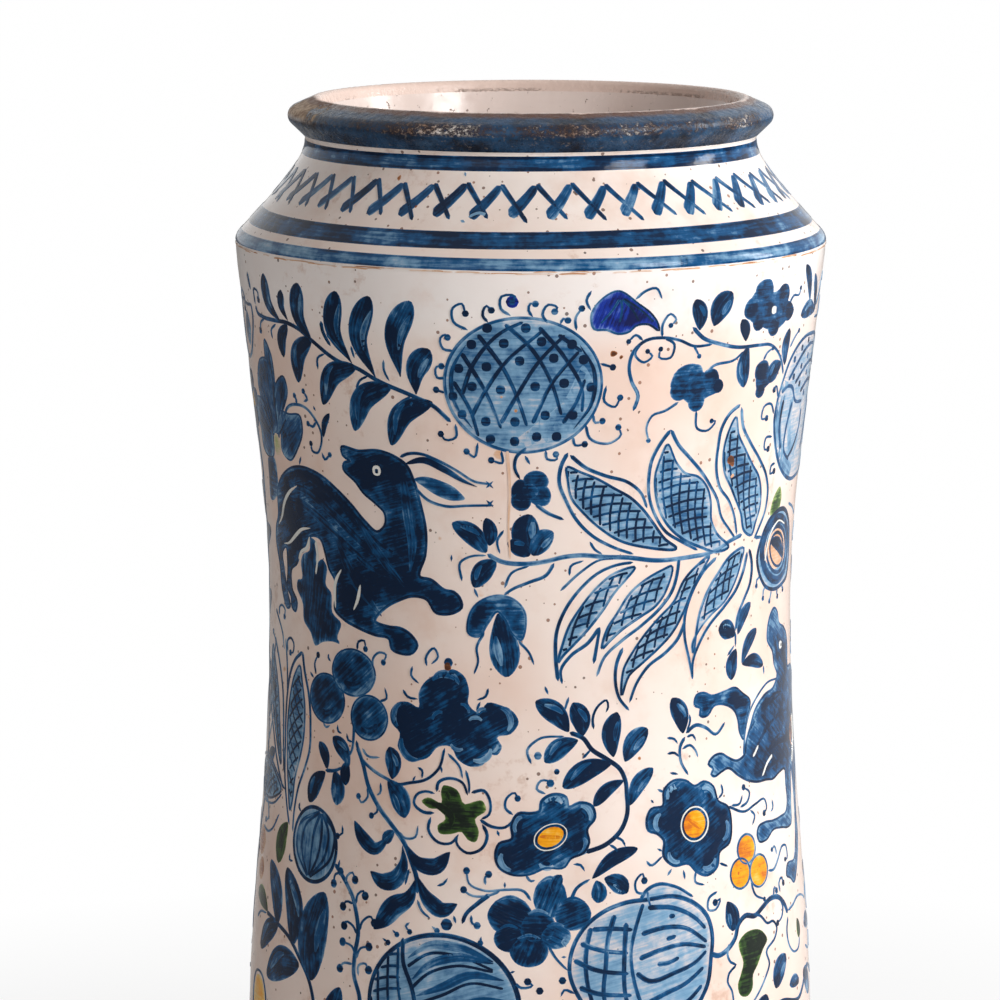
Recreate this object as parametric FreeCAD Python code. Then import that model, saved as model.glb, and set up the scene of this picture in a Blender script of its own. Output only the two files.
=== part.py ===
"""Albarello: a waisted apothecary jar of tin-glazed earthenware, with an edge at shoulder and heel.

The jar is a body of revolution about Z. It stands on z = 0 with its axis through the origin.
Its clay is thrown and turned in sections that are luted together in stepped, lapped joints:
foot ring, base disc, heel wall, body wall, shoulder collar, neck ring and rolled lip.
A coat of glaze lies over the clay outside, round the lip and inside. The foot ring stays bare.

The glazed surface is one outline in the (radius, height) half plane, in millimetres. It runs up
the outside, over the lip and down the inside to the middle of the floor, with the wall on its left.
The same outline moved into the wall by the coat's thickness is the surface of the clay.
"""

import FreeCAD
import Part

import math
import os

# Overall, and the radii of the waisted body, whose heel follows its shoulder
height = 300.0
shoulder_radius = 78.7
waist_radius = 70.25
heel_narrowing = 1.7

# Heights of the body's edges and waist: the shoulder is measured down from the lip's crest
shoulder_drop = 36.8
waist_height = 168.0
heel_height = 42.0

# Walls and coat
wall_thickness = 6.2
neck_wall_thickness = 6.5
floor_thickness = 6.5
glaze_thickness = 0.5

# Neck and mouth: the bore is straight below the flared throat, between the corners that round it off
neck_radius = 60.0
neck_length = 1.2
bore_drop = 9.0
bore_length = 12.0

# Lip: a nose that overhangs the neck, and a crest further in and higher
lip_overhang = 4.6
lip_nose_rounding = 2.7
lip_nose_drop = 4.8
lip_crest_rounding = 1.6
lip_crest_inset = 4.6

# Foot: a ring under the base disc, and a cove between it and the heel's bevel
foot_radius = 58.5
foot_height = 5.5
foot_ring_width = 9.5
foot_edge_rounding = 1.2
foot_cove_depth = 3.0
foot_cove_height = 6.0

# The half plane's own directions, in degrees, and the turns to the left and back
outward = 0.0
up = 90.0
inward = 180.0
down = 270.0
left = 90.0
back = 180.0

# Directions of the glazed surface where its runs meet, in degrees
wall_angle_at_heel = 91.0
wall_angle_at_shoulder = 84.5
shoulder_angle = 132.0
lip_under_angle = 44.0

# Roundings of the corners
cove_rounding = 4.0
heel_rounding = 4.0
shoulder_rounding = 3.6
neck_rounding = 1.5
throat_rounding = 6.0
inner_shoulder_rounding = 5.0
inner_heel_rounding = 5.0
floor_rounding = 12.0
least_rounding = 0.3

# How far the tangents of the curved runs reach, as a share of the run
heel_wall_grip = 0.40
waist_grip_below = 0.45
waist_grip_above = 0.25
shoulder_wall_grip = 0.45
shoulder_low_grip = 0.40
shoulder_high_grip = 0.18

# Luted joints: each has its inner half higher than its outer half by the lap
base_flange_thickness = 3.5
base_seat_width = 1.0
heel_joint_rise = 8.0
shoulder_joint_drop = 9.0
neck_joint_drop = 4.0
lip_joint_rise = 0.3
wall_joint_lap = 3.0
neck_joint_lap = 1.0

# Where the lip's coat starts outside, above the neck, and ends inside, below the crest
rim_glaze_rise = 0.6
rim_glaze_drop = 3.0


def direction(angle):
    """Unit vector of the half plane at an angle from the horizontal."""
    turned = math.radians(angle)
    return FreeCAD.Vector(math.cos(turned), 0, math.sin(turned))


def point(radius, z):
    """Point of the half plane."""
    return FreeCAD.Vector(radius, 0, z)


def angle_from(start, end):
    """Direction from one point of the half plane to another, in degrees."""
    return math.degrees(math.atan2(end.z - start.z, end.x - start.x)) % 360.0


class Knot:
    """A point of an outline: the directions before and after it, its rounding, and its grips."""

    def __init__(self, place, arrive, leave, rounding=0.0, grip_before=0.0, grip_after=0.0):
        self.place = place
        self.arrive = arrive
        self.leave = leave
        self.rounding = rounding
        self.grip_before = grip_before
        self.grip_after = grip_after

    def turn(self):
        """Change of direction at the knot, which is positive where the wall is convex."""
        return (self.leave - self.arrive + 180.0) % 360.0 - 180.0

    def inset(self, depth):
        """How far and where the knot moves when both its runs move into the wall by a depth."""
        half = self.turn() / 2
        return direction(self.arrive + half + left) * (depth / math.cos(math.radians(half)))

    def moved_in(self, depth):
        """The same knot on the outline that lies deeper in the wall."""
        rounding = self.rounding
        if rounding:
            rounding = max(rounding - math.copysign(depth, self.turn()), least_rounding)
        return Knot(
            self.place + self.inset(depth),
            self.arrive,
            self.leave,
            rounding,
            self.grip_before,
            self.grip_after,
        )

    def arc(self):
        """Start, middle and end of the rounding, which are all the knot itself where it has none."""
        turn = self.turn()
        if not self.rounding or abs(turn) < 0.01:
            return self.place, self.place, self.place
        setback = self.rounding * math.tan(math.radians(abs(turn) / 2))
        start = self.place - direction(self.arrive) * setback
        end = self.place + direction(self.leave) * setback
        side = math.copysign(left, turn)
        centre = start + direction(self.arrive + side) * self.rounding
        middle = centre - direction(self.arrive + turn / 2 + side) * self.rounding
        return start, middle, end


def run(first, second):
    """Edge between two knots: a line, or a curve that keeps both directions where they have grips."""
    start = first.arc()[2]
    end = second.arc()[0]
    if not first.grip_after:
        return Part.LineSegment(start, end).toShape()
    length = start.distanceToPoint(end)
    curve = Part.BezierCurve()
    curve.setPoles([
        start,
        start + direction(first.leave) * (length * first.grip_after),
        end - direction(second.arrive) * (length * second.grip_before),
        end,
    ])
    return curve.toShape()


def trace(knots):
    """Edges along a chain of knots, with their roundings."""
    edges = []
    for first, second in zip(knots, knots[1:]):
        edges.append(run(first, second))
        start, middle, end = second.arc()
        if start != end:
            edges.append(Part.Arc(start, middle, end).toShape())
    return edges


def polyline(*places):
    """Straight edges from point to point."""
    return [Part.LineSegment(start, end).toShape() for start, end in zip(places, places[1:])]


def face_inside(edges):
    """Flat face within a closed outline of the half plane."""
    return Part.Face(Part.Wire(Part.__sortEdges__(edges)))


def revolved(face):
    """Solid made by turning a face of the half plane once about the axis."""
    return face.Faces[0].revolve(FreeCAD.Vector(0, 0, 0), FreeCAD.Vector(0, 0, 1), 360)


# Places on the glazed surface that follow from the sizes
foot_top = point(foot_radius, foot_height)
foot_cove = point(foot_radius - foot_cove_depth, foot_height + foot_cove_height)
heel_edge = point(shoulder_radius - heel_narrowing, heel_height)
waist = point(waist_radius, waist_height)
shoulder_edge = point(shoulder_radius, height - shoulder_drop)
bore_top = point(neck_radius - neck_wall_thickness, height - bore_drop)
bore_bottom = bore_top - point(0, bore_length)
floor_middle = point(0, foot_height + floor_thickness)


def lip_knots():
    """The neck's two ends, the lip's nose and its crest, as the corners that circles round off."""
    nose_centre = point(neck_radius + lip_overhang - lip_nose_rounding, height - lip_nose_drop)
    crest_centre = point(nose_centre.x - lip_crest_inset, height - lip_crest_rounding)
    narrowing = (lip_nose_rounding - lip_crest_rounding) / nose_centre.distanceToPoint(crest_centre)
    lip_top_angle = angle_from(nose_centre, crest_centre) + math.degrees(math.asin(narrowing))
    throat_angle = angle_from(crest_centre - point(lip_crest_rounding, 0), bore_top)

    def rounded_corner(centre, rounding, arrive, leave, grip_before=0.0):
        half = (leave - arrive) / 2
        reach = rounding / math.cos(math.radians(half))
        place = centre + direction(arrive + half - left) * reach
        return Knot(place, arrive, leave, rounding, grip_before)

    nose = rounded_corner(nose_centre, lip_nose_rounding, lip_under_angle, lip_top_angle)
    crest = rounded_corner(crest_centre, lip_crest_rounding, lip_top_angle, throat_angle)
    under_rise = (nose.place.x - neck_radius) * math.tan(math.radians(lip_under_angle))
    neck_top = point(neck_radius, nose.place.z - under_rise)
    return [
        Knot(neck_top - point(0, neck_length), up, up, grip_before=shoulder_high_grip),
        Knot(neck_top, up, lip_under_angle, neck_rounding),
        nose,
        crest,
        Knot(bore_top, throat_angle, down, throat_rounding),
    ]


def outside_knots():
    """From the foot ring's top up the cove, the bevel, the waisted wall and the shoulder's edge."""
    cove_angle = angle_from(foot_top, foot_cove)
    bevel_angle = angle_from(foot_cove, heel_edge)
    return [
        Knot(foot_top, 2 * up - cove_angle, cove_angle),
        Knot(foot_cove, cove_angle, bevel_angle, cove_rounding),
        Knot(heel_edge, bevel_angle, wall_angle_at_heel, heel_rounding, grip_after=heel_wall_grip),
        Knot(waist, up, up, 0.0, waist_grip_below, waist_grip_above),
        Knot(
            shoulder_edge,
            wall_angle_at_shoulder,
            shoulder_angle,
            shoulder_rounding,
            shoulder_wall_grip,
            shoulder_low_grip,
        ),
    ]


def inside_knots(outside):
    """From the bore's lower end down the shoulder, the wall and the bevel to the floor's middle."""
    foot, cove, heel, waist_knot, shoulder = outside
    shoulder_behind = shoulder.place + shoulder.inset(wall_thickness)
    heel_behind = heel.place + heel.inset(wall_thickness)
    shoulder_slope = angle_from(bore_bottom, shoulder_behind)
    bevel_slope = heel.arrive + back
    fall = (heel_behind.z - floor_middle.z) / math.tan(math.radians(heel.arrive))
    floor_edge = point(heel_behind.x - fall, floor_middle.z)
    return [
        Knot(bore_bottom, down, shoulder_slope, throat_rounding),
        Knot(
            shoulder_behind,
            shoulder_slope,
            shoulder.arrive + back,
            inner_shoulder_rounding,
            grip_after=shoulder_wall_grip,
        ),
        Knot(
            waist_knot.place - point(wall_thickness, 0),
            down,
            down,
            grip_before=waist_grip_above,
            grip_after=waist_grip_below,
        ),
        Knot(heel_behind, heel.leave + back, bevel_slope, inner_heel_rounding, heel_wall_grip),
        Knot(floor_edge, bevel_slope, inward, floor_rounding),
        Knot(floor_middle, inward, inward),
    ]


outside = outside_knots()
lip = lip_knots()
glazed_outline = outside + lip + inside_knots(outside)
clay_outline = [knot.moved_in(glaze_thickness) for knot in glazed_outline]
neck_top_height = lip[1].place.z
neck_bottom_height = lip[0].place.z


def clay_section():
    """Section of all the clay above the foot ring."""
    underside = polyline(clay_outline[-1].place, point(0, foot_height), clay_outline[0].place)
    return face_inside(trace(clay_outline) + underside)


def coat_section():
    """Section of the whole coat, from the foot ring's top to the middle of the floor."""
    ends = polyline(clay_outline[0].place, glazed_outline[0].place)
    ends += polyline(clay_outline[-1].place, glazed_outline[-1].place)
    return face_inside(trace(glazed_outline) + trace(clay_outline) + ends)


def middle_of_wall(section, z):
    """Radius half way through the wall at a height."""
    level = Part.LineSegment(point(0, z), point(2 * shoulder_radius, z)).toShape()
    return section.common(level).BoundBox.Center.x


def region_below(z, radius, lap):
    """Half plane below a stepped joint, which is higher by the lap within the radius."""
    reach = 2 * shoulder_radius
    return face_inside(polyline(
        point(0, 0),
        point(reach, 0),
        point(reach, z),
        point(radius, z),
        point(radius, z + lap),
        point(0, z + lap),
        point(0, 0),
    ))


def clay_pieces():
    """The clay sections from the base disc up, cut apart at their joints."""
    remaining = clay_section()
    base_step_radius = foot_radius - foot_ring_width + base_seat_width
    joints = [("base_disc", foot_height + base_flange_thickness, base_step_radius, heel_height)]
    for name, z, lap in (
        ("heel_wall", heel_height + heel_joint_rise, wall_joint_lap),
        ("body_wall", shoulder_edge.z - shoulder_joint_drop, wall_joint_lap),
        ("shoulder_collar", neck_bottom_height - neck_joint_drop, neck_joint_lap),
        ("neck_ring", neck_top_height + lip_joint_rise, neck_joint_lap),
    ):
        joints.append((name, z, middle_of_wall(remaining, z), lap))
    pieces = {}
    for name, z, radius, lap in joints:
        below = region_below(z, radius, lap)
        pieces[name] = revolved(remaining.common(below))
        remaining = remaining.cut(below)
    pieces["lip_ring"] = revolved(remaining)
    return pieces


def coat_pieces():
    """The coat outside, the coat on the lip and the coat inside, parted at the rim."""
    coat = coat_section()
    outer_end = neck_top_height + rim_glaze_rise
    inner_end = height - rim_glaze_drop
    below_rim = region_below(outer_end, neck_radius - neck_wall_thickness / 2, inner_end - outer_end)
    inner, outer = sorted(coat.common(below_rim).Faces, key=lambda face: face.BoundBox.XMin)
    return {
        "outer_glaze": revolved(outer),
        "rim_glaze": revolved(coat.cut(below_rim)),
        "inner_glaze": revolved(inner),
    }


def foot_ring():
    """The bare ring that the jar stands on, with its lower edges softened."""
    inner_radius = foot_radius - foot_ring_width
    knots = [
        Knot(point(inner_radius, foot_height), down, down),
        Knot(point(inner_radius, 0), down, outward, foot_edge_rounding),
        Knot(point(foot_radius, 0), outward, up, foot_edge_rounding),
        Knot(foot_top, up, up),
    ]
    top = polyline(foot_top, point(inner_radius, foot_height))
    return revolved(face_inside(trace(knots) + top))


pieces = {"foot_ring": foot_ring()}
pieces.update(clay_pieces())
pieces.update(coat_pieces())

os.makedirs("parts", exist_ok=True)
for name, solid in pieces.items():
    solid.exportStep(f"parts/{name}.step")
    print(f"{name}: {solid.ShapeType}, valid {solid.isValid()}, {solid.Volume / 1000:.2f} cm3")
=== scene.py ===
import math

import bpy
import numpy as np
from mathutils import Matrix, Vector
from mathutils.geometry import delaunay_2d_cdt


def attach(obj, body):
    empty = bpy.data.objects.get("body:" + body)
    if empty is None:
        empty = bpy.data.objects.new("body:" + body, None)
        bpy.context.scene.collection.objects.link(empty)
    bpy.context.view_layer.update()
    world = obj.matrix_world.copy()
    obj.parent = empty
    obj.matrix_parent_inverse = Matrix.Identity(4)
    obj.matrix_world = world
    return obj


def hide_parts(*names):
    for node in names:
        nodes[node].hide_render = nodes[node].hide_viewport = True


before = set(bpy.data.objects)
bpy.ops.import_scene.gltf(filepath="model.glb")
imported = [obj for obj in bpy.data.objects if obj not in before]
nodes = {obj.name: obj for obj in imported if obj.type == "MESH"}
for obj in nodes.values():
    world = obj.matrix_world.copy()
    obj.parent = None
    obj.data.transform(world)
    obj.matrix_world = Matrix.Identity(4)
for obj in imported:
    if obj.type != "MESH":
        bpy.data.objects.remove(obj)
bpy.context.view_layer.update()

# Studio. The jar stands alone on a pale table, seen by a long lens from a little above its mouth.
# A soft key lamp stands to the right of the front, a slim one at the right side, and the left is dim.
scene = bpy.context.scene
scene.view_settings.view_transform = "Standard"


def paint(red, green, blue):
    """A colour in screen values from 0 to 255, as the shaders take it."""
    shares = [value / 255 for value in (red, green, blue)]
    return [s / 12.92 if s <= 0.04045 else ((s + 0.055) / 1.055) ** 2.4 for s in shares] + [1]


def put(tree, kind, into=None, **settings):
    """Places a shader node, sets it, and joins or fills its inputs."""
    node = tree.nodes.new("ShaderNode" + kind)
    for name, value in settings.items():
        setattr(node, name, value)
    for socket, value in (into or {}).items():
        if isinstance(value, bpy.types.NodeSocket):
            tree.links.new(value, node.inputs[socket])
        else:
            node.inputs[socket].default_value = value
    return node


def facing(place, target):
    """The turn that points a lamp or the camera from its place at a target."""
    return (Vector(target) - Vector(place)).to_track_quat("-Z", "Y")


camera_place = (0, -1.330, 0.4037)
camera_pitch = math.radians(9.08)
camera_yaw = math.radians(0.35)
lens_length = 180
camera_data = bpy.data.cameras.new("camera")
camera_data.lens = lens_length
camera_data.sensor_width = 36
camera = bpy.data.objects.new("camera", camera_data)
camera.location = camera_place
ahead = Vector((-math.sin(camera_yaw), math.cos(camera_yaw), -math.tan(camera_pitch)))
camera.rotation_mode = "QUATERNION"
camera.rotation_quaternion = ahead.to_track_quat("-Z", "Y")
scene.collection.objects.link(camera)
scene.camera = camera


def lamp(name, azimuth, height, distance, width, tall, watts, colour):
    """A softbox at an azimuth to the right of the front, turned to the middle of the jar."""
    turn = math.radians(azimuth)
    place = (distance * math.sin(turn), -distance * math.cos(turn), height)
    data = bpy.data.lights.new(name, "AREA")
    data.shape = "RECTANGLE"
    data.size = width
    data.size_y = tall
    data.energy = watts
    data.color = colour
    light = bpy.data.objects.new(name, data)
    light.location = place
    light.rotation_mode = "QUATERNION"
    light.rotation_quaternion = facing(place, (0, 0, 0.17))
    scene.collection.objects.link(light)


lamp("key", 52, 0.95, 1.7, 0.55, 0.8, 22.5, (1.0, 0.993, 0.985))
lamp("side", 100, 0.75, 1.5, 0.3, 0.8, 12.5, (1.0, 0.993, 0.985))
lamp("fill", -20, 0.8, 2.2, 1.2, 1.2, 5, (1.0, 0.94, 0.89))

world = bpy.data.worlds.new("studio")
world.use_nodes = True
scene.world = world
tree = world.node_tree
tree.nodes.clear()
rays = put(tree, "LightPath").outputs
seen = put(tree, "Math", {0: rays["Is Camera Ray"], 1: rays["Is Glossy Ray"]}, operation="MAXIMUM")
seen = put(tree, "Math", {0: seen.outputs[0], 1: rays["Is Transmission Ray"]}, operation="MAXIMUM")
room = put(tree, "Background", {"Color": (1, 0.96, 0.93, 1), "Strength": 0.2})
white = put(tree, "Background", {"Color": (1, 1, 1, 1), "Strength": 1.0})
mixed = put(tree, "MixShader", {0: seen.outputs[0], 1: room.outputs[0], 2: white.outputs[0]})
put(tree, "OutputWorld", {"Surface": mixed.outputs[0]})

table_radius = 9.0
bpy.ops.object.select_all(action="DESELECT")
bpy.ops.mesh.primitive_circle_add(vertices=96, radius=table_radius, fill_type="NGON", location=(0, 0, 0))
table = bpy.context.object
table.name = "table_top"
bpy.ops.object.mode_set(mode="EDIT")
bpy.ops.mesh.select_all(action="SELECT")
bpy.ops.mesh.extrude_region_move(TRANSFORM_OT_translate={"value": (0, 0, -0.03)})
bpy.ops.mesh.normals_make_consistent(inside=False)
bpy.ops.object.mode_set(mode="OBJECT")
table_finish = bpy.data.materials.new("pale_table")
table_finish.use_nodes = True
tree = table_finish.node_tree
tree.nodes.clear()
rays = put(tree, "LightPath").outputs
where = put(tree, "TexCoord").outputs["Object"]
away = put(tree, "VectorMath", {0: where}, operation="LENGTH").outputs["Value"]
share = put(tree, "MapRange", {0: away, 1: 0.1, 2: 0.36, 3: 0.72, 4: 0.998}).outputs[0]
glow = put(tree, "Math", {0: rays["Is Camera Ray"], 1: share}, operation="MULTIPLY")
matte = put(tree, "BsdfDiffuse", {"Color": (0.86, 0.86, 0.86, 1)})
bright = put(tree, "Emission", {"Color": (1, 1, 1, 1), "Strength": 1.0})
mixed = put(tree, "MixShader", {0: glow.outputs[0], 1: matte.outputs[0], 2: bright.outputs[0]})
put(tree, "OutputMaterial", {"Surface": mixed.outputs[0]})
table.data.materials.append(table_finish)

# Clay body. Seven thrown and turned sections of buff earthenware, luted together before glazing.
# Only the foot ring, the base and the chips at the mouth stay bare, dusty and marked by the turning.


def noise(tree, where, scale, detail=3.0, roughness=0.55):
    """Soft cloudy values from 0 to 1."""
    into = {"Vector": where, "Scale": scale, "Detail": detail, "Roughness": roughness}
    return put(tree, "TexNoise", into).outputs[0]


def ramp(tree, value, low, high, start=0.0, end=1.0):
    """Takes a value from low to high and gives start to end, with soft ends."""
    into = {0: value, 1: low, 2: high, 3: start, 4: end}
    return put(tree, "MapRange", into, interpolation_type="SMOOTHSTEP").outputs[0]


def tint(tree, share, first, second, how="MIX"):
    """The second colour over the first, by a share."""
    into = {0: share, 6: first, 7: second}
    return put(tree, "Mix", into, data_type="RGBA", blend_type=how).outputs[2]


def sums(tree, how, first, second):
    """One step of arithmetic between two values."""
    return put(tree, "Math", {0: first, 1: second}, operation=how).outputs[0]


def stretched(tree, where, x, y, z):
    """Coordinates drawn out differently along each axis."""
    return put(tree, "Mapping", {"Vector": where, "Scale": (x, y, z)}).outputs[0]


def new_material(name):
    """An empty material and its tree."""
    material = bpy.data.materials.new(name)
    material.use_nodes = True
    material.node_tree.nodes.clear()
    return material, material.node_tree


def surface(tree, colour, roughness, normal, **plain):
    """The shader that ends a material. Plain values are set on its own sockets."""
    into = {"Base Color": colour, "Roughness": roughness, "Normal": normal}
    into.update({name.replace("_", " "): value for name, value in plain.items()})
    shader = put(tree, "BsdfPrincipled", into)
    put(tree, "OutputMaterial", {"Surface": shader.outputs[0]})


def raised(tree, height, depth, under=None):
    """A normal from a height, over another one if it is given."""
    into = {"Height": height, "Strength": 1.0, "Distance": depth}
    if under is not None:
        into["Normal"] = under
    return put(tree, "Bump", into).outputs[0]


def bare_clay():
    """Buff clay with grog, a pinker blush, turning lines and dust."""
    material, tree = new_material("bare_clay")
    where = put(tree, "TexCoord").outputs["Object"]
    blush = noise(tree, where, 45)
    colour = tint(tree, ramp(tree, blush, 0.35, 0.7), paint(204, 160, 124), paint(186, 128, 96))
    grog = noise(tree, where, 900, 2)
    colour = tint(tree, ramp(tree, grog, 0.6, 0.75, 0, 0.55), colour, paint(232, 206, 176))
    dirt = noise(tree, where, 160, 5, 0.7)
    colour = tint(tree, ramp(tree, dirt, 0.55, 0.8, 0, 0.5), colour, paint(122, 84, 62))
    lines = noise(tree, stretched(tree, where, 6, 6, 900), 1.0, 2)
    rough = ramp(tree, grog, 0.2, 0.8, 0.72, 0.92)
    height = sums(tree, "ADD", sums(tree, "MULTIPLY", lines, 0.6), sums(tree, "MULTIPLY", grog, 0.5))
    surface(tree, colour, rough, raised(tree, height, 0.0004))
    return material


clay = bare_clay()
clay_nodes = ("foot_ring", "base_disc", "heel_wall", "body_wall", "shoulder_collar", "neck_ring", "lip_ring")
for name in clay_nodes:
    nodes[name].data.materials.clear()
    nodes[name].data.materials.append(clay)

# White tin-glaze coat. The dipped coat runs from the foot up to the lip over the whole outside, half a
# millimetre thick, slightly uneven, with pinholes and warm stains.
millimetre = 0.001
wall_mean = 73.0
glaze_thickness = 0.5


def smooth(points, step, closed=False):
    """A soft line through points, with its own points at most a step apart."""
    spots = np.array(points, float)
    if closed:
        spots = np.vstack([spots[-1:], spots, spots[:2]])
    gaps = np.linalg.norm(np.diff(spots, axis=0), axis=1)
    runs = np.diff(spots, axis=0) / gaps[:, None]
    bends = gaps[1:, None] * runs[:-1] + gaps[:-1, None] * runs[1:]
    bends = bends / (gaps[1:] + gaps[:-1])[:, None]
    if closed:
        spots, gaps = spots[1:-1], gaps[1:-1]
    else:
        bends = np.vstack([runs[:1], bends, runs[-1:]])
    line = []
    for i, gap in enumerate(gaps):
        t = np.linspace(0, 1, max(2, math.ceil(gap / step)), endpoint=False)[:, None]
        near, far = spots[i], spots[i + 1]
        line.append(
            (2 * t**3 - 3 * t**2 + 1) * near
            + (t**3 - 2 * t**2 + t) * gap * bends[i]
            + (3 * t**2 - 2 * t**3) * far
            + (t**3 - t**2) * gap * bends[i + 1]
        )
    if not closed:
        line.append(spots[-1:])
    return np.vstack(line)


def outer_line(node):
    """Radius and height, in millimetres, up the outside of a turned node."""
    mesh = node.data
    corners = np.array([v.co for v in mesh.vertices]) / millimetre
    rows = {}
    for face in mesh.polygons:
        middle = Vector(face.center[:2]).normalized()
        if face.normal.xy.dot(middle) > 0.05:
            for index in face.vertices:
                x, y, z = corners[index]
                rows[round(z, 2)] = max(rows.get(round(z, 2), 0), math.hypot(x, y))
    return np.array([(rows[z], z) for z in sorted(rows)])


def thinned(line, turn, reach):
    """Keeps the points of a line where it has turned or run far enough."""
    kept = [line[0]]
    heading = None
    for before, spot in zip(line[:-1], line[1:]):
        new_heading = math.atan2(*(spot - before))
        if heading is None:
            heading = new_heading
        if abs(new_heading - heading) > turn or np.linalg.norm(spot - kept[-1]) > reach:
            kept.append(before)
            heading = new_heading
    kept.append(line[-1])
    return np.array([kept[0]] + [b for a, b in zip(kept[:-1], kept[1:]) if np.linalg.norm(b - a) > 1e-3])


coat_line = smooth(outer_line(nodes["outer_glaze"]), 0.35)
coat_line = coat_line[np.concatenate([[True], np.diff(coat_line[:, 1]) > 1e-4])]
coat_lean = np.unwrap(np.arctan2(-np.gradient(coat_line[:, 0]), np.gradient(coat_line[:, 1])))


def unevenness(angle, z):
    """How far the coat stands in or out of true, in millimetres, as left by the hand and the dip."""
    swell = 0.10 * np.sin(2 * angle + 0.6 + z / 70) + 0.06 * np.sin(3 * angle - z / 31)
    rings = 0.035 * np.sin(z / 2.3 + 1.5 * np.sin(angle)) + 0.03 * np.sin(z / 5.1 - 2 * np.sin(angle + 1))
    edge = np.clip((z - 8) / 12, 0, 1) * np.clip((291 - z) / 6, 0, 1)
    return (swell + rings) * edge


def on_wall(u, z, lift):
    """Places and normals on the coat, from millimetres round the unrolled wall and up it."""
    angle = np.asarray(u, float) / wall_mean
    z = np.asarray(z, float)
    lean = np.interp(z, coat_line[:, 1], coat_lean)
    radius = np.interp(z, coat_line[:, 1], coat_line[:, 0]) + unevenness(angle, z) + lift * np.cos(lean)
    places = np.stack([radius * np.sin(angle), -radius * np.cos(angle), z + lift * np.sin(lean)], -1)
    normals = np.stack([np.cos(lean) * np.sin(angle), -np.cos(lean) * np.cos(angle), np.sin(lean)], -1)
    return places * millimetre, normals


def turned(name, section, steps):
    """Spins a closed section, in millimetres of radius and height, into a shell."""
    bpy.ops.object.select_all(action="DESELECT")
    mesh = bpy.data.meshes.new(name)
    count = len(section)
    corners = [(r * millimetre, 0, z * millimetre) for r, z in section]
    mesh.from_pydata(corners, [(i, (i + 1) % count) for i in range(count)], [])
    piece = bpy.data.objects.new(name, mesh)
    scene.collection.objects.link(piece)
    bpy.context.view_layer.objects.active = piece
    piece.select_set(True)
    bpy.ops.object.mode_set(mode="EDIT")
    bpy.ops.mesh.select_all(action="SELECT")
    bpy.ops.mesh.spin(steps=steps, angle=2 * math.pi, center=(0, 0, 0), axis=(0, 0, 1))
    bpy.ops.mesh.select_all(action="SELECT")
    bpy.ops.mesh.remove_doubles(threshold=1e-6)
    bpy.ops.mesh.normals_make_consistent(inside=False)
    bpy.ops.mesh.faces_shade_smooth()
    bpy.ops.object.mode_set(mode="OBJECT")
    return piece


def group(name, inputs, outputs):
    """An empty node group with named sockets, and its ends."""
    made = bpy.data.node_groups.new(name, "ShaderNodeTree")
    for socket, kind in inputs:
        made.interface.new_socket(name=socket, in_out="INPUT", socket_type="NodeSocket" + kind)
    for socket, kind in outputs:
        made.interface.new_socket(name=socket, in_out="OUTPUT", socket_type="NodeSocket" + kind)
    return made, made.nodes.new("NodeGroupInput").outputs, made.nodes.new("NodeGroupOutput").inputs


def tin_glaze_group():
    """The ground of every painted place: warm white, blushes, a band of painted sheen under the shoulder's
    edge, stains and pinholes.
    """
    made, given, result = group(
        "tin_glaze",
        [("Colour", "Color"), ("Blush", "Color")],
        [("Color", "Color"), ("Roughness", "Float"), ("Height", "Float")],
    )
    where = put(made, "TexCoord").outputs["Object"]
    tall = put(made, "SeparateXYZ", {0: where}).outputs[2]
    wide = noise(made, where, 14, 4)
    pink = sums(made, "ADD", ramp(made, wide, 0.38, 0.68, 0, 0.7), ramp(made, tall, 0.262, 0.225, 0, 0.3))
    colour = tint(made, pink, given["Colour"], given["Blush"])
    # Painted sheen: a cooler, near-white band is painted round the wall just under the shoulder's edge.
    painted_sheen_band = sums(made, "MULTIPLY", ramp(made, tall, 0.238, 0.252), ramp(made, tall, 0.2635, 0.2615, 0, 0.6))
    colour = tint(made, painted_sheen_band, colour, paint(252, 250, 250))
    cloud = noise(made, where, 60, 4, 0.6)
    colour = tint(made, ramp(made, cloud, 0.48, 0.78, 0, 0.42), colour, paint(222, 182, 158))
    stain = sums(made, "MULTIPLY", noise(made, where, 32), noise(made, where, 210, 4, 0.7))
    colour = tint(made, ramp(made, stain, 0.31, 0.46, 0, 0.42), colour, paint(190, 138, 104))
    crowd = ramp(made, noise(made, where, 26, 2), 0.3, 0.58)
    for scale, least, most, share in ((170, 0.5, 0.08, 0.85), (430, 0.25, 0.22, 0.8)):
        cells = put(made, "TexVoronoi", {"Vector": where, "Scale": scale}, feature="F1")
        chance = put(made, "SeparateColor", {0: cells.outputs["Color"]}).outputs
        size = sums(made, "MULTIPLY", ramp(made, chance[0], least, 1.0, 0.0, most), crowd)
        hole = sums(made, "LESS_THAN", cells.outputs["Distance"], size)
        soot = tint(made, chance[1], paint(44, 30, 24), paint(150, 92, 58))
        colour = tint(made, sums(made, "MULTIPLY", hole, share), colour, soot)
    made.links.new(colour, result["Color"])
    made.links.new(ramp(made, noise(made, where, 300), 0.3, 0.75, 0.06, 0.17), result["Roughness"])
    skin = sums(made, "MULTIPLY", noise(made, where, 170, 2), 0.5)
    ripple = noise(made, stretched(made, where, 20, 20, 210), 1.0, 2)
    height = sums(made, "ADD", skin, ripple)
    height = sums(made, "SUBTRACT", height, sums(made, "MULTIPLY", hole, 0.5))
    made.links.new(height, result["Height"])
    return made


tin_glaze = tin_glaze_group()


def glaze_ground(tree):
    """The white ground with the colours of the outside."""
    node = put(tree, "Group")
    node.node_tree = tin_glaze
    node.inputs["Colour"].default_value = paint(251, 240, 233)
    node.inputs["Blush"].default_value = paint(240, 211, 196)
    return node.outputs


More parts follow.
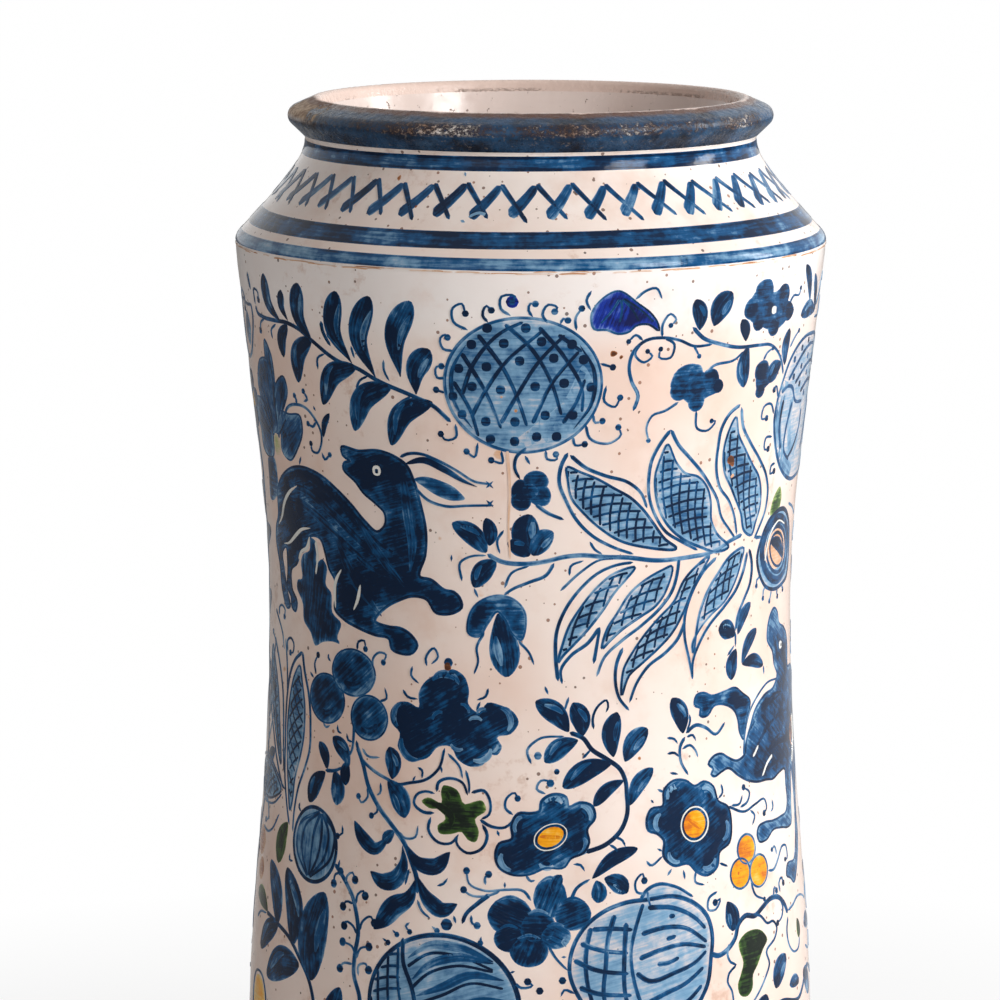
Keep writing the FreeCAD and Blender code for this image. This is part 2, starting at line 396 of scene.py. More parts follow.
def white_glaze():
    material, tree = new_material("painted_white_glaze")
    ground = glaze_ground(tree)
    surface(tree, ground["Color"], ground["Roughness"], raised(tree, ground["Height"], 0.00012),
            Specular_IOR_Level=0.24)
    return material


coat_rows = thinned(coat_line, math.radians(2.5), 4.0)
coat_back = coat_rows[::-5].copy()
coat_back[:, 0] -= glaze_thickness * 0.9
coat = turned("white_glaze_coat", np.vstack([coat_rows, coat_back]), 384)
corners = np.array([v.co for v in coat.data.vertices]) / millimetre
radii = np.hypot(corners[:, 0], corners[:, 1])
outside = radii > np.interp(corners[:, 2], coat_line[:, 1], coat_line[:, 0]) - 0.2
angles = np.arctan2(corners[:, 0], -corners[:, 1])
grown = 1 + np.where(outside, unevenness(angles, corners[:, 2]), 0) / radii
corners[:, :2] *= grown[:, None]
coat.data.vertices.foreach_set("co", (corners * millimetre).ravel())
coat.data.materials.append(white_glaze())
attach(coat, "root")
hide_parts("outer_glaze")

# Painted bands. The jar was centred on a wheel and the loaded brush held against it, so each band has
# pools at its edges, fine streaks round the jar and a darker overlap where it meets itself.
brush_luck = np.random.default_rng(11)
circle = math.pi * wall_mean
across = np.array([-1.0, -0.8, -0.45, 0.0, 0.45, 0.8, 1.0])
soft_edge = np.array([0.45, 0.85, 1.0, 1.0, 1.0, 0.85, 0.45])
pooled_edge = np.array([0.6, 1.0, 0.74, 0.7, 0.74, 1.0, 0.6])


class Film:
    """The strokes of one painted motif, gathered until the motif is whole."""

    def __init__(self, move=0.0):
        self.move = move
        self.pot = "line"
        self.count = 0
        self.u, self.z, self.lift, self.load, self.brush = [], [], [], [], []
        self.faces, self.pots = [], []

    def level(self):
        """How high the next stroke lies over the coat, in millimetres."""
        return pot_levels[self.pot] + 0.0006 * self.count

    def lay(self, u, z, lift, load, brush, faces):
        """Adds the points and faces of one stroke."""
        start = len(self.u)
        self.u.extend(u)
        self.z.extend(z)
        self.lift.extend(lift)
        self.load.extend(load)
        self.brush.extend(map(tuple, brush))
        self.faces.extend([start + corner for corner in face] for face in faces)
        self.pots.extend([self.pot] * len(faces))
        self.count += 1

    def finish(self, name):
        """Makes the piece and fires it onto the jar."""
        places, normals = on_wall(np.array(self.u) + self.move, self.z, np.array(self.lift))
        mesh = bpy.data.meshes.new(name)
        mesh.from_pydata(places.tolist(), [], self.faces)
        load = mesh.attributes.new("load", "FLOAT", "POINT")
        load.data.foreach_set("value", np.array(self.load, np.float32))
        corners = np.zeros(len(mesh.loops), np.int32)
        mesh.loops.foreach_get("vertex_index", corners)
        layer = mesh.uv_layers.new(name="brush")
        layer.data.foreach_set("uv", np.array(self.brush, np.float32)[corners].ravel())
        mesh.shade_smooth()
        mesh.normals_split_custom_set_from_vertices(normals.tolist())
        used = [pot_paints[pot] for pot in self.pots]
        kinds = sorted(set(used), key=lambda material: material.name)
        for material in kinds:
            mesh.materials.append(material)
        mesh.polygons.foreach_set("material_index", [kinds.index(material) for material in used])
        piece = bpy.data.objects.new(name, mesh)
        scene.collection.objects.link(piece)
        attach(piece, "root")
        return piece


def stroke(
    film, points, width, fullest=None, tip=0.8, load=0.8, taper=0.0, edge=soft_edge, step=0.9, closed=False,
):
    """One pull of the brush. With fullest it swells like a leaf, and without it the ends are round."""
    line = smooth(points, step, closed)
    if closed:
        line = np.vstack([line, line[:1]])
    ahead = np.gradient(line, axis=0)
    ahead /= np.linalg.norm(ahead, axis=1)[:, None] + 1e-9
    run = np.concatenate([[0], np.cumsum(np.linalg.norm(np.diff(line, axis=0), axis=1))])
    t = run / run[-1]
    if closed:
        swell = 1 + 0.12 * np.sin(2 * math.pi * (t + brush_luck.uniform(0, 1)))
    elif fullest is None:
        near_end = np.clip(np.minimum(run, run[-1] - run) / (0.5 * width), 0, 1)
        swell = np.sqrt(1 - (1 - near_end) ** 2) * (1 - taper * t)
    else:
        swell = np.sin(math.pi * np.clip(t, 0.004, 0.996) ** (math.log(0.5) / math.log(fullest))) ** tip
    half = 0.5 * width * np.clip(swell, 0.05, 2)
    u = line[:, 0, None] + ahead[:, 1, None] * half[:, None] * across
    z = line[:, 1, None] - ahead[:, 0, None] * half[:, None] * across
    lift = np.where(np.abs(across) > 0.99, -0.02, film.level()) + np.zeros_like(u)
    if not closed:
        lift[0], lift[-1] = -0.02, -0.02
    drift = brush_luck.uniform(0.9, 1.1) + brush_luck.uniform(-0.14, 0.14) * t
    amount = load * drift[:, None] * edge
    start = brush_luck.uniform(0, 400)
    brush = np.stack([np.broadcast_to(run[:, None], u.shape) + start, half[:, None] * across + start], -1)
    rows, wide = u.shape
    faces = []
    for i in range(rows - 1):
        for j in range(wide - 1):
            corner = i * wide + j
            faces.append((corner, corner + 1, corner + wide + 1, corner + wide))
    film.lay(u.ravel(), z.ravel(), lift.ravel(), amount.ravel(), brush.reshape(-1, 2), faces)


def pigment_group():
    """Pigment over the ground: thin it tints, thick it covers, streaked along the brush."""
    made, given, result = group(
        "pigment",
        [("Ground", "Color"), ("Thin", "Color"), ("Middle", "Color"), ("Full", "Color")],
        [("Color", "Color"), ("Load", "Float")],
    )
    load = put(made, "Attribute", attribute_name="load").outputs["Fac"]
    brush = put(made, "UVMap", uv_map="brush").outputs[0]
    where = put(made, "TexCoord").outputs["Object"]
    streak = noise(made, stretched(made, brush, 0.10, 1.3, 1), 1.0, 3, 0.6)
    pool = noise(made, where, 250, 5, 0.62)
    wide = noise(made, where, 85)
    share = sums(
        made, "ADD", ramp(made, streak, 0.3, 0.7, 0.78, 1.16), ramp(made, pool, 0.3, 0.7, -0.2, 0.2),
    )
    share = sums(made, "ADD", share, ramp(made, wide, 0.35, 0.65, -0.2, 0.2))
    amount = sums(made, "MULTIPLY", load, share)
    colour = tint(made, ramp(made, amount, 0.02, 0.34), given["Ground"], given["Thin"])
    colour = tint(made, ramp(made, amount, 0.26, 0.62), colour, given["Middle"])
    colour = tint(made, ramp(made, amount, 0.55, 1.0), colour, given["Full"])
    made.links.new(colour, result["Color"])
    made.links.new(amount, result["Load"])
    return made


pigment = pigment_group()


def painted(name, thin, middle, full):
    """A colour painted on the raw glaze and fired into it."""
    material, tree = new_material(name)
    ground = glaze_ground(tree)
    node = put(tree, "Group")
    node.node_tree = pigment
    tree.links.new(ground["Color"], node.inputs["Ground"])
    for socket, colour in (("Thin", thin), ("Middle", middle), ("Full", full)):
        node.inputs[socket].default_value = paint(*colour)
    height = sums(tree, "ADD", ground["Height"], sums(tree, "MULTIPLY", node.outputs["Load"], 0.35))
    relief = raised(tree, height, 0.00012)
    surface(tree, node.outputs["Color"], ground["Roughness"], relief, Specular_IOR_Level=0.15)
    return material


cobalt = painted("cobalt_blue", (124, 166, 198), (14, 80, 130), (3, 30, 60))
deep_blue = painted("deep_blue", (110, 140, 205), (20, 52, 158), (10, 22, 78))
copper_green = painted("copper_green", (160, 182, 110), (60, 92, 42), (24, 34, 27))
antimony_yellow = painted("antimony_yellow", (248, 206, 110), (246, 168, 22), (206, 108, 30))
iron_brown = painted("iron_brown", (222, 176, 140), (170, 104, 60), (84, 50, 34))
tin_white = painted("tin_white", (226, 228, 224), (236, 236, 230), (244, 243, 238))
pot_paints = {
    "wash": cobalt,
    "fill": cobalt,
    "line": cobalt,
    "deep": deep_blue,
    "green": copper_green,
    "yellow": antimony_yellow,
    "brown": iron_brown,
    "chip": iron_brown,
    "white": tin_white,
    "over": cobalt,
}
pot_levels = {
    "wash": 0.05,
    "fill": 0.08,
    "line": 0.12,
    "deep": 0.09,
    "green": 0.09,
    "yellow": 0.08,
    "brown": 0.07,
    "chip": 0.16,
    "white": 0.24,
    "over": 0.28,
}


def band(film, z, width, load, drift=0.25, start=-circle, edge=pooled_edge, meet=6.0):
    """A band round the whole jar, that wanders a little and overlaps where it meets."""
    turns = np.linspace(start, start + 2 * circle + meet, 40)
    phase = brush_luck.uniform(0, 6)
    points = [(u, z + drift * math.sin(2 * u / wall_mean + phase)) for u in turns]
    stroke(film, points, width, load=load, edge=edge, step=1.6)


bands = Film()
band(bands, 292.4, 0.9, 0.65, 0.1, edge=soft_edge)
band(bands, 287.2, 3.9, 0.94, 0.15, start=-68)
band(bands, 269.2, 4.2, 1.02, 0.2, start=150)
band(bands, 263.55, 3.1, 0.76, 0.2, start=35)
bands.finish("painted_bands")

# Zigzag border on the shoulder. Wide strokes rise to a peak and thin ones fall from it across the next,
# a pair every few degrees, each pulled by hand between the bands.
border_low = 274.6
border_high = 282.0
border_pairs = 45
border = Film()
for pair in range(border_pairs):
    peak = 1.7 + pair * 2 * circle / border_pairs + brush_luck.uniform(-0.4, 0.4)
    lean = 0.5 + 0.5 * math.sin(peak / wall_mean)
    high = border_high + brush_luck.uniform(-0.4, 0.4)
    low = border_low + brush_luck.uniform(-0.4, 0.3)
    foot = peak - 9.4 + 3.2 * lean
    knee = peak + 5.5 + 5.5 * lean
    wide = brush_luck.uniform(2.7, 3.3) + 0.7 * lean
    stroke(border, [
        (foot, low), ((foot + peak) / 2 + 0.3, (low + high) / 2), (peak, high),
    ], wide, load=0.72, taper=0.3)
    thin_end = low - brush_luck.uniform(0.3, 1.3)
    stroke(border, [
        (peak - 0.2, high + 0.4), ((peak + knee) / 2, (thin_end + high) / 2 + 0.3), (knee, thin_end),
    ], 1.7, taper=0.35)
for smear in (
    [(-17, 274.4), (-14, 275.4), (-11.5, 274.8)], [(-19, 273.6), (-17.5, 273.2)],
    [(-20.4, 285.2), (-19.8, 284)],
):
    stroke(border, smear, 0.8, load=0.3)
border.finish("zigzag_border")

# Painted field. What the brush can do: stems, leaves, drops, curls, flooded shapes and hatching.
# Each motif is painted on the front and again, by the same hand, on the far side of the jar.


def stem(film, points, width=0.95, load=0.66):
    """A thin line that runs out fine."""
    stroke(film, points, width, load=load, taper=0.3, step=1.1)


def oval(u, z, wide, tall, count):
    """Points round an oval. Its reach may differ from point to point."""
    turns = [k * math.pi / (count / 2) for k in range(count)]
    reach = zip(turns, np.broadcast_to(wide, count), np.broadcast_to(tall, count))
    return [(u + out * math.cos(a), z + high * math.sin(a)) for a, out, high in reach]


def arc(u, z, wide, tall, turns):
    """Points on a part of an oval."""
    return [(u + wide * math.cos(a), z + tall * math.sin(a)) for a in turns]


def dot(film, u, z, radius=1.0, load=0.85):
    """A round drop of colour."""
    if radius < 1.8:
        stroke(film, [(u - radius, z), (u + radius, z)], 2 * radius, load=load, step=radius / 2.5)
    else:
        reach = radius * brush_luck.uniform(0.9, 1.1, 7)
        fill(film, oval(u, z, reach, reach, 7), load, rim=0.7, grain=1.4)


def curls(film, lines, radius=0.9, width=0.85, load=0.66):
    """Tendrils that end in a drop. Without a radius they run out fine."""
    for points in lines:
        stem(film, points, width, load)
        if radius:
            dot(film, *points[-1], radius)


def leaves(film, strokes, load=0.97, bend=0.1, fullest=0.56, tip=0.6):
    """Leaves pressed down at the base and lifted at the tip: base, tip and width of each."""
    for u, z, tip_u, tip_z, width in strokes:
        along = np.array([tip_u - u, tip_z - z])
        side = np.array([along[1], -along[0]]) * bend * np.sign(along[0] + 0.01)
        middle = np.array([u, z]) + along / 2 - side
        stroke(film, [(u, z), middle, (tip_u, tip_z)], 1.12 * width, fullest, tip, load)
        if width > 4:
            flank = np.array([along[1], -along[0]]) / np.linalg.norm(along) * 0.24 * width
            near, far = np.array([u, z]) + 0.3 * along, np.array([u, z]) + 0.86 * along
            stroke(film, [
                near + flank - side, middle + flank, far + 0.5 * flank,
            ], 0.36 * width, 0.5, 1.0, 0.6)


def inside(spots, edge):
    """Which spots lie within a closed edge."""
    ahead = np.roll(edge, -1, axis=0)
    x, y = spots[:, 0, None], spots[:, 1, None]
    crosses = (edge[:, 1] > y) != (ahead[:, 1] > y)
    rise = np.where(ahead[:, 1] == edge[:, 1], 1e-9, ahead[:, 1] - edge[:, 1])
    left = x < edge[:, 0] + (y - edge[:, 1]) * (ahead[:, 0] - edge[:, 0]) / rise
    return (crosses & left).sum(axis=1) % 2 == 1


def depth_in(spots, edge):
    """How far each spot lies from a closed edge."""
    along = np.roll(edge, -1, axis=0) - edge
    reach = spots[:, None] - edge
    t = np.clip((reach * along).sum(-1) / ((along**2).sum(-1) + 1e-12), 0, 1)
    return np.linalg.norm(reach - t[..., None] * along, axis=-1).min(axis=1)


def fill(film, outline, load, rim=1.3, grain=2.0, turn=0.0):
    """A shape flooded with colour that thins out at its edge. The brush runs at a turn."""
    edge = smooth(outline, 1.2, closed=True)
    forward = np.roll(edge, -1, axis=0) - np.roll(edge, 1, axis=0)
    area = (edge[:, 0] * np.roll(edge[:, 1], -1) - np.roll(edge[:, 0], -1) * edge[:, 1]).sum()
    forward *= np.sign(area) / np.linalg.norm(forward, axis=1)[:, None]
    ring = edge + 0.45 * np.stack([-forward[:, 1], forward[:, 0]], -1)
    low, high = edge.min(axis=0), edge.max(axis=0)
    rows = np.meshgrid(np.arange(low[0], high[0], grain), np.arange(low[1], high[1], grain))
    middle = np.stack(rows, -1).reshape(-1, 2)
    middle += brush_luck.uniform(-0.3, 0.3, middle.shape) * grain
    middle = middle[inside(middle, edge) & (depth_in(middle, edge) > 0.9)]
    ring = ring[inside(ring, edge) & (depth_in(ring, edge) > 0.4)]
    spots = [Vector(spot) for spot in np.vstack([edge, ring, middle])]
    made = delaunay_2d_cdt(spots, [], [list(range(len(edge)))], 1, 1e-4)
    spots = np.array(made[0])
    depth = depth_in(spots, edge)
    drift = brush_luck.uniform(0.92, 1.08)
    amount = load * drift * (0.45 + 0.55 * np.clip(depth / rim, 0, 1))
    lift = np.where(depth < 0.03, -0.02, film.level())
    turned_u = spots[:, 0] * math.cos(turn) + spots[:, 1] * math.sin(turn)
    turned_z = spots[:, 1] * math.cos(turn) - spots[:, 0] * math.sin(turn)
    faces = []
    for face in made[2]:
        a, b, c = (spots[index] for index in face)
        upright = (b[0] - a[0]) * (c[1] - a[1]) > (b[1] - a[1]) * (c[0] - a[0])
        faces.append(face if upright else face[::-1])
    film.lay(spots[:, 0], spots[:, 1], lift, amount, np.stack([turned_u, turned_z], -1), faces)


def contour(film, outline, width=0.9, load=0.75):
    """A closed line round a shape."""
    stroke(film, outline, width, load=load, step=1.1, closed=True)


def hatch(film, outline, degrees, gap, width=0.8, load=0.72):
    """Lines laid side by side across a shape."""
    edge = np.array(outline, float)
    heading = np.array([math.cos(math.radians(degrees)), math.sin(math.radians(degrees))])
    beside = np.array([-heading[1], heading[0]])
    middle = edge.mean(axis=0)
    reach = np.linalg.norm(edge - middle, axis=1).max()
    steps = np.arange(-reach, reach, 0.5)
    for offset in np.arange(-reach, reach, gap):
        shift = offset + brush_luck.uniform(-0.12, 0.12) * gap
        row = middle + shift * beside + steps[:, None] * heading
        within = np.concatenate([[0], inside(row, edge).astype(int), [0]])
        starts = np.flatnonzero(np.diff(within) == 1)
        ends = np.flatnonzero(np.diff(within) == -1)
        for first, last in zip(starts, ends):
            if last - first > 3:
                a, b = row[first], row[last - 1]
                bow = (a + b) / 2 + beside * 0.05 * np.linalg.norm(b - a)
                stroke(film, [a, bow, b], width, load=load, step=1.4)


def paint_twice(motif):
    """Paints a motif on the front and again half-way round the jar."""
    for side, move in (("front", 0.0), ("back", circle)):
        film = Film(move)
        motif(film)
        film.finish(motif.__name__ + "_" + side)


# Running hare. It leaps to the left and looks back to the right with its ears laid over the sprays.
# Its body is flooded with cobalt, darker along the back, with pale lines left between the limbs.


def running_hare(film):
    body = [
        (-53, 213.4), (-47, 213.3), (-40.7, 213.9), (-35.7, 212.6), (-32.9, 210.9), (-30.7, 206.6),
        (-29.4, 201.6), (-27.9, 192.3), (-28.4, 187.3), (-30, 181.4), (-27.1, 181), (-22.9, 178.4),
        (-20.4, 178), (-18.9, 176.6), (-18.4, 174.1), (-20, 172.9), (-23.7, 172.1), (-25.4, 172.3),
        (-28.2, 175.7), (-32.9, 176.2), (-36.4, 174.9), (-40.7, 172.6), (-44.3, 168.7), (-39.3, 167.5),
        (-36.4, 167.5), (-32.9, 165.9), (-31.1, 163.4), (-32.5, 161.4), (-36.4, 161), (-38.9, 161.9),
        (-39.6, 164.3), (-44.3, 165), (-50.7, 166.4), (-55.7, 168), (-58.9, 170.1), (-58.2, 174.4),
        (-58.6, 178), (-60.7, 180.5), (-62.1, 184.4), (-63.9, 188.1), (-68.2, 188.4), (-71.4, 184.4),
        (-74.3, 183), (-76.4, 180.1), (-80.4, 177.6), (-80.4, 172.6), (-77.3, 169.1), (-78.2, 166.9),
        (-80.4, 167.6), (-81.1, 170.5), (-83.6, 172.3), (-82.7, 177.3), (-83.2, 183.4), (-86.4, 181.4),
        (-85.9, 177.6), (-83.7, 171), (-81.8, 167.6), (-83.9, 166.9), (-86.3, 169.1), (-88.2, 172.6),
        (-88.9, 177.3), (-91.1, 185.1), (-90.4, 187.3), (-87.3, 191.2), (-85.4, 199.1), (-82.9, 201.6),
        (-78.6, 204.3), (-73.6, 206.1), (-69.3, 206.6), (-65, 206.2), (-60.7, 205), (-55.7, 202.3),
        (-50.7, 198.7), (-46.4, 194.8), (-42.5, 192.4), (-39.9, 194.8), (-39.9, 197.3), (-42.9, 200),
        (-46.4, 202.3), (-48.6, 204.8), (-52.7, 208.7), (-52.1, 209.8), (-50, 210.3), (-52.5, 211.6),
    ]
    film.pot = "fill"
    fill(film, body, 0.95, grain=1.8, turn=0.3)
    back = [(-83, 198), (-76, 203.5), (-68, 204.5), (-58, 201), (-48, 193.5), (-41, 188.5), (-34, 186)]
    for shift, load in ((0, 1.1), (-4.5, 0.95), (-9, 1.05)):
        row = [(u + 0.3 * shift, z + shift * (1 - abs(u + 60) / 70)) for u, z in back]
        stroke(film, row, 3.6, 0.5, load=load)
    stroke(film, [(-34, 209), (-33, 200), (-32, 190), (-33, 182)], 4.2, 0.45, load=0.95)
    stroke(film, [(-50, 196), (-42, 186), (-34, 178)], 3.4, 0.5, load=0.95)
    stroke(film, [(-58, 190), (-52, 180), (-42, 170)], 4.0, 0.5, load=0.9)
    stroke(film, [(-87, 184), (-80, 190), (-70, 194)], 3.0, 0.5, load=0.9)
    film.pot = "line"
    contour(film, body, 0.85, 0.85)
    film.pot = "white"
    for line in (
        [(-72.9, 201.2), (-77.9, 198.7), (-81.4, 195.5), (-84.3, 191.2), (-87.5, 188.7)],
        [(-67.9, 190.5), (-72.9, 189.4), (-76.4, 187.3), (-80.7, 184.8), (-84.6, 184.1)],
        [(-68.6, 188.4), (-70.7, 184.8), (-73.6, 183.4), (-75.4, 180.9)],
        [(-55.7, 181.2), (-58.2, 177.6), (-58.6, 170.1)], [(-48.9, 178), (-50.4, 173), (-51.8, 170.5)],
    ):
        stroke(film, line, 1.1, 0.45, load=0.4)
    dot(film, -41.6, 208.6, 1.5, 0.8)
    film.pot = "over"
    dot(film, -41.5, 208.5, 0.75, 1.0)
    film.pot = "fill"
    ear = [
        (-30.7, 207.3), (-28.6, 208), (-23.6, 207.3), (-18.6, 204.8), (-16.8, 202.6), (-20, 201.9),
        (-24.3, 203), (-27.9, 205.1),
    ]
    fill(film, ear, 0.85)
    film.pot = "line"
    stroke(film, [
        (-33, 211), (-27.9, 212.3), (-22.1, 210.1), (-17.1, 207.3), (-13.6, 205.9),
    ], 2.0, 0.4, load=0.95)
    ear_line = [
        (-34.6, 212.6), (-32.1, 213.7), (-28.6, 213.9), (-24.3, 212.6), (-18.6, 209.8), (-14.3, 207.3),
    ]
    stem(film, ear_line + [(-10, 206.7)])
    stem(film, [(-30.7, 205.1), (-27.1, 201.9), (-22.1, 200.5), (-16.4, 200.9), (-9.3, 201.2)])
    for u, z in ((-10.4, 206.6), (-10.4, 201.6)):
        stem(film, [(u - 1, z + 1), (u + 1, z - 1)], 0.7)
        stem(film, [(u - 1, z - 1), (u + 1, z + 1)], 0.7)
    film.pot = "fill"
    bush = [
        (-74.3, 180.9), (-72.9, 183), (-69.6, 184.4), (-68.6, 188), (-66.1, 187.3), (-66.1, 181.6),
        (-63.6, 182.9), (-61.8, 181.2), (-62.3, 175.9), (-60.4, 174.4), (-59.9, 169.1), (-56.4, 166.6),
        (-57.9, 162.3), (-55.7, 160.9), (-60, 161.2), (-64.3, 160.5), (-67.9, 159.1), (-70.1, 162.3),
        (-73.6, 165.1), (-74.1, 169.4), (-77.5, 173.7), (-76.8, 175.5), (-74.3, 176.2),
    ]
    fill(film, bush, 0.9, grain=1.5, turn=1.4)
    film.pot = "white"
    stem(film, [(-66.2, 187.5), (-65.6, 183), (-66.8, 178)], 0.8, 0.5)


paint_twice(running_hare)

# Pomegranates. Outlined twice at the sides, latticed with crossing lines and dotted, over a pale wash,
# with hooks all round and a short stem. The second one is cut open, with ribs inside.


def pomegranate(film):
    middle_u, middle_z, wide, tall = -1.8, 232.6, 19.5, 17.4
    outline = oval(middle_u, middle_z, wide, tall, 16)
    film.pot = "wash"
    fill(film, outline, 0.4, rim=1.4)
    lower = [(-6, 216.5), (6, 218), (14, 223), (16.5, 231), (13, 238), (8, 229), (0, 222)]
    fill(film, lower, 0.55, rim=5.0)
    film.pot = "line"
    contour(film, outline, 0.9, 0.62)
    for side in (-1, 1):
        edge = arc(middle_u, middle_z, side * (wide - 1.6), tall - 1, (-0.8, -0.3, 0.2, 0.7))
        stroke(film, edge, 1.3, 0.5, load=0.85)
    for line in (
        [(-6.4, 248.7), (0.4, 241.9), (5, 233.7), (7.9, 224.4)],
        [(-12.9, 245.9), (-6.4, 236.6), (-3.2, 229.4), (-0.7, 221.6)],
        [(-17.1, 241.2), (-11.1, 230.9), (-7.1, 220.9)], [(-19.3, 233.7), (-15, 225.9), (-12.9, 218.7)],
        [(1.8, 248), (8.6, 239.4), (12.9, 230.9), (12.9, 225.1)], [(6.4, 245.9), (12.9, 240.9)],
        [(-17.1, 229.4), (-13.9, 238), (-6.4, 246.6), (-1.4, 249.1)],
        [(-15, 223.7), (-10.7, 231.6), (-6.4, 238), (3.6, 247.3)],
        [(-7.5, 222.3), (-3.2, 230.1), (2.1, 238.7), (8.6, 245.9)],
        [(0.4, 222.3), (5.7, 233.7), (12.1, 241.6)], [(7.9, 222.3), (11.4, 228), (13.6, 234.4)],
    ):
        stem(film, line, 1.35, 0.9)
    for u, z in (
        (-10.4, 247.3), (-1.1, 247.4), (-14.3, 243), (-6.4, 243.4), (2.7, 243.9), (10.1, 243.1),
        (-17.6, 236.7), (-10.7, 237.3), (-2.6, 238.9), (5.7, 239.6), (13, 239.1), (-14.4, 232.1),
        (-7.3, 231.4), (1.2, 232.3), (8.3, 233.1), (15, 231.9), (-19.3, 229.4), (-17.1, 224.8),
        (-11.1, 223.1), (-3.8, 223.1), (3.7, 224.8), (10.6, 224.8), (-10, 218.5), (-3.9, 218), (1.6, 219.2),
        (6.6, 219.2),
    ):
        dot(film, u, z, 1.4, 1.05)
    curls(film, [
        [(-15, 246.6), (-18.6, 248.7), (-18.6, 252.3), (-16.4, 253.4), (-15.6, 250.9)],
        [(-10.1, 248.7), (-11.4, 250.5), (-10.4, 253), (-9.3, 251.9)],
        [(-4.6, 250.5), (-7, 252.3), (-6.8, 255.5), (-3.6, 255.5), (-4.3, 254.1)],
        [(0.7, 250.1), (-0.4, 251.9), (0, 253.7), (1.2, 253.6)],
        [(4.3, 248.4), (2.9, 250.9), (4.3, 253.4), (6.4, 252.6), (5.8, 251.6)],
        [(7.1, 248), (7.9, 249.8), (9, 249.3)], [(11.1, 246.6), (10.9, 250.1), (12.3, 252.3)],
        [(-18.6, 241.2), (-21.4, 241.6), (-22, 244.4), (-20.7, 245.3), (-20.2, 244.6)],
        [(-20.7, 234.1), (-23.2, 234.1), (-23.2, 236.9), (-22, 237.1)],
        [(-18.9, 222.3), (-18.9, 218.7), (-21.8, 218), (-22.8, 219.4)],
        [(-13.2, 217.6), (-14.3, 213.7), (-16.2, 215.1)], [(-7.5, 215.9), (-7.1, 212.3), (-9.9, 213)],
        [(3.9, 215.9), (4.3, 213.4), (6.8, 213.4), (6.5, 214.6)],
        [(10.7, 219.4), (11.4, 216.9), (13.8, 217.1)],
        [(13.9, 222.3), (15, 218.7), (20.7, 217.3), (23.2, 219.4), (22.4, 221.2)],
        [(15.7, 225.1), (16.4, 222.6), (18.2, 223)],
        [(18.9, 232.3), (18.6, 228), (21.4, 226.6), (22.6, 228.9)], [(-21.1, 230.1), (-23.6, 230.9)],
        [(17.1, 238), (20.4, 236.9)],
    ])
    film.pot = "deep"
    dot(film, -4.3, 254.1, 1.6, 1.0)
    film.pot = "line"
    stem(film, [(-0.7, 216.6), (-3.6, 213.7), (-3.9, 210.9), (-2.5, 208)], 1.1)
    stem(film, [(-1.4, 214.4), (0, 211.9)])
    for u, z, radius in (
        (1.4, 207.4, 3.2), (-2.2, 205.1, 3), (-2.2, 202.5, 2.7), (2.7, 203.9, 2.9), (0, 205, 2.4),
    ):
        dot(film, u, z, radius, 0.95)
    stem(film, [(1.1, 201.9), (4.3, 199.4), (8.9, 197.4)], 1.2)


def half_pomegranate(film):
    outline = [
        (97.9, 238.7), (90.7, 238.6), (85, 236.6), (80.7, 233), (78.6, 229.4), (76.4, 223.7), (75.6, 218),
        (77.9, 211.6), (81.4, 205.9), (86.4, 202.3), (92.1, 200.5), (99, 200.5), (108, 202), (115, 207),
        (119, 215), (118.5, 225), (113, 233.5), (106, 237.5),
    ]
    film.pot = "wash"
    fill(film, outline, 0.26, rim=2.0)
    stroke(film, [(80.5, 229), (77.6, 218), (82, 208), (92, 202)], 5, load=0.42)
    stroke(film, [(86, 224), (85.6, 215), (90, 207)], 3.4, load=0.36)
    stroke(film, [(94, 221), (96, 212), (92, 206)], 3.0, load=0.34)
    film.pot = "line"
    contour(film, outline, 1.2, 0.78)
    for line in (
        [(81.4, 228), (85, 230.9), (90.7, 234.4), (97.1, 235.9), (104, 235.5)],
        [(86.4, 226.6), (93.6, 230.1), (100.7, 231.2), (110, 229)],
        [(92.1, 223.7), (99.3, 225.9), (108, 225), (116, 221)],
        [(77.9, 225.1), (81.4, 226.6), (85, 225.9), (87.9, 222.3), (95.7, 220.9)],
        [(80, 223.7), (78.9, 216.6), (81.4, 209.4)],
        [(86.4, 222.3), (83.6, 215.9), (83.6, 209.4), (88.6, 205.9)],
        [(95.7, 219.4), (95, 213.7), (90.7, 208.7), (86.4, 206.6)], [(104, 222), (105, 214), (101, 207)],
        [(111, 220), (112, 213), (108, 207)],
    ):
        stem(film, line, 1.4, 0.85)
    for u, z in (
        (84.3, 233.4), (89.3, 235.9), (95, 237.3), (85, 228.7), (90.4, 230.9), (96.1, 233), (90.7, 226.2),
        (97.1, 228.4), (96.8, 223), (104, 232), (105, 227.5), (111, 225),
    ):
        dot(film, u, z, 1.0, 0.9)
    curls(film, [
        [(76.5, 224), (74.5, 227.5), (73.9, 226.6)],
        [(75, 220), (73, 223), (69.5, 222.5), (69, 219.5), (71.4, 219.4)],
        [(75.5, 214), (72, 214), (72, 211), (73.9, 210.9)],
        [(79, 206.5), (76.5, 206), (76.3, 204), (78.6, 204.4)],
    ])


paint_twice(pomegranate)
paint_twice(half_pomegranate)

# Hatched leaf spray. Seven long leaves fan out from one stem, each a pale inner leaf crossed with fine
# lines inside a white margin and a blue outline.


def hatched_leaf(film, inner, lines, first, second, gap=2.5, shade=0.4):
    """A pale leaf crossed both ways, with the lines that stand round it."""
    film.pot = "wash"
    fill(film, inner, shade, rim=1.2)
    film.pot = "fill"
    hatch(film, inner, first, gap, 0.8, 1.0)
    hatch(film, inner, second, gap, 0.8, 1.0)
    film.pot = "line"
    contour(film, inner, 0.8, 0.66)
    for line in lines:
        stem(film, line, 1.15)


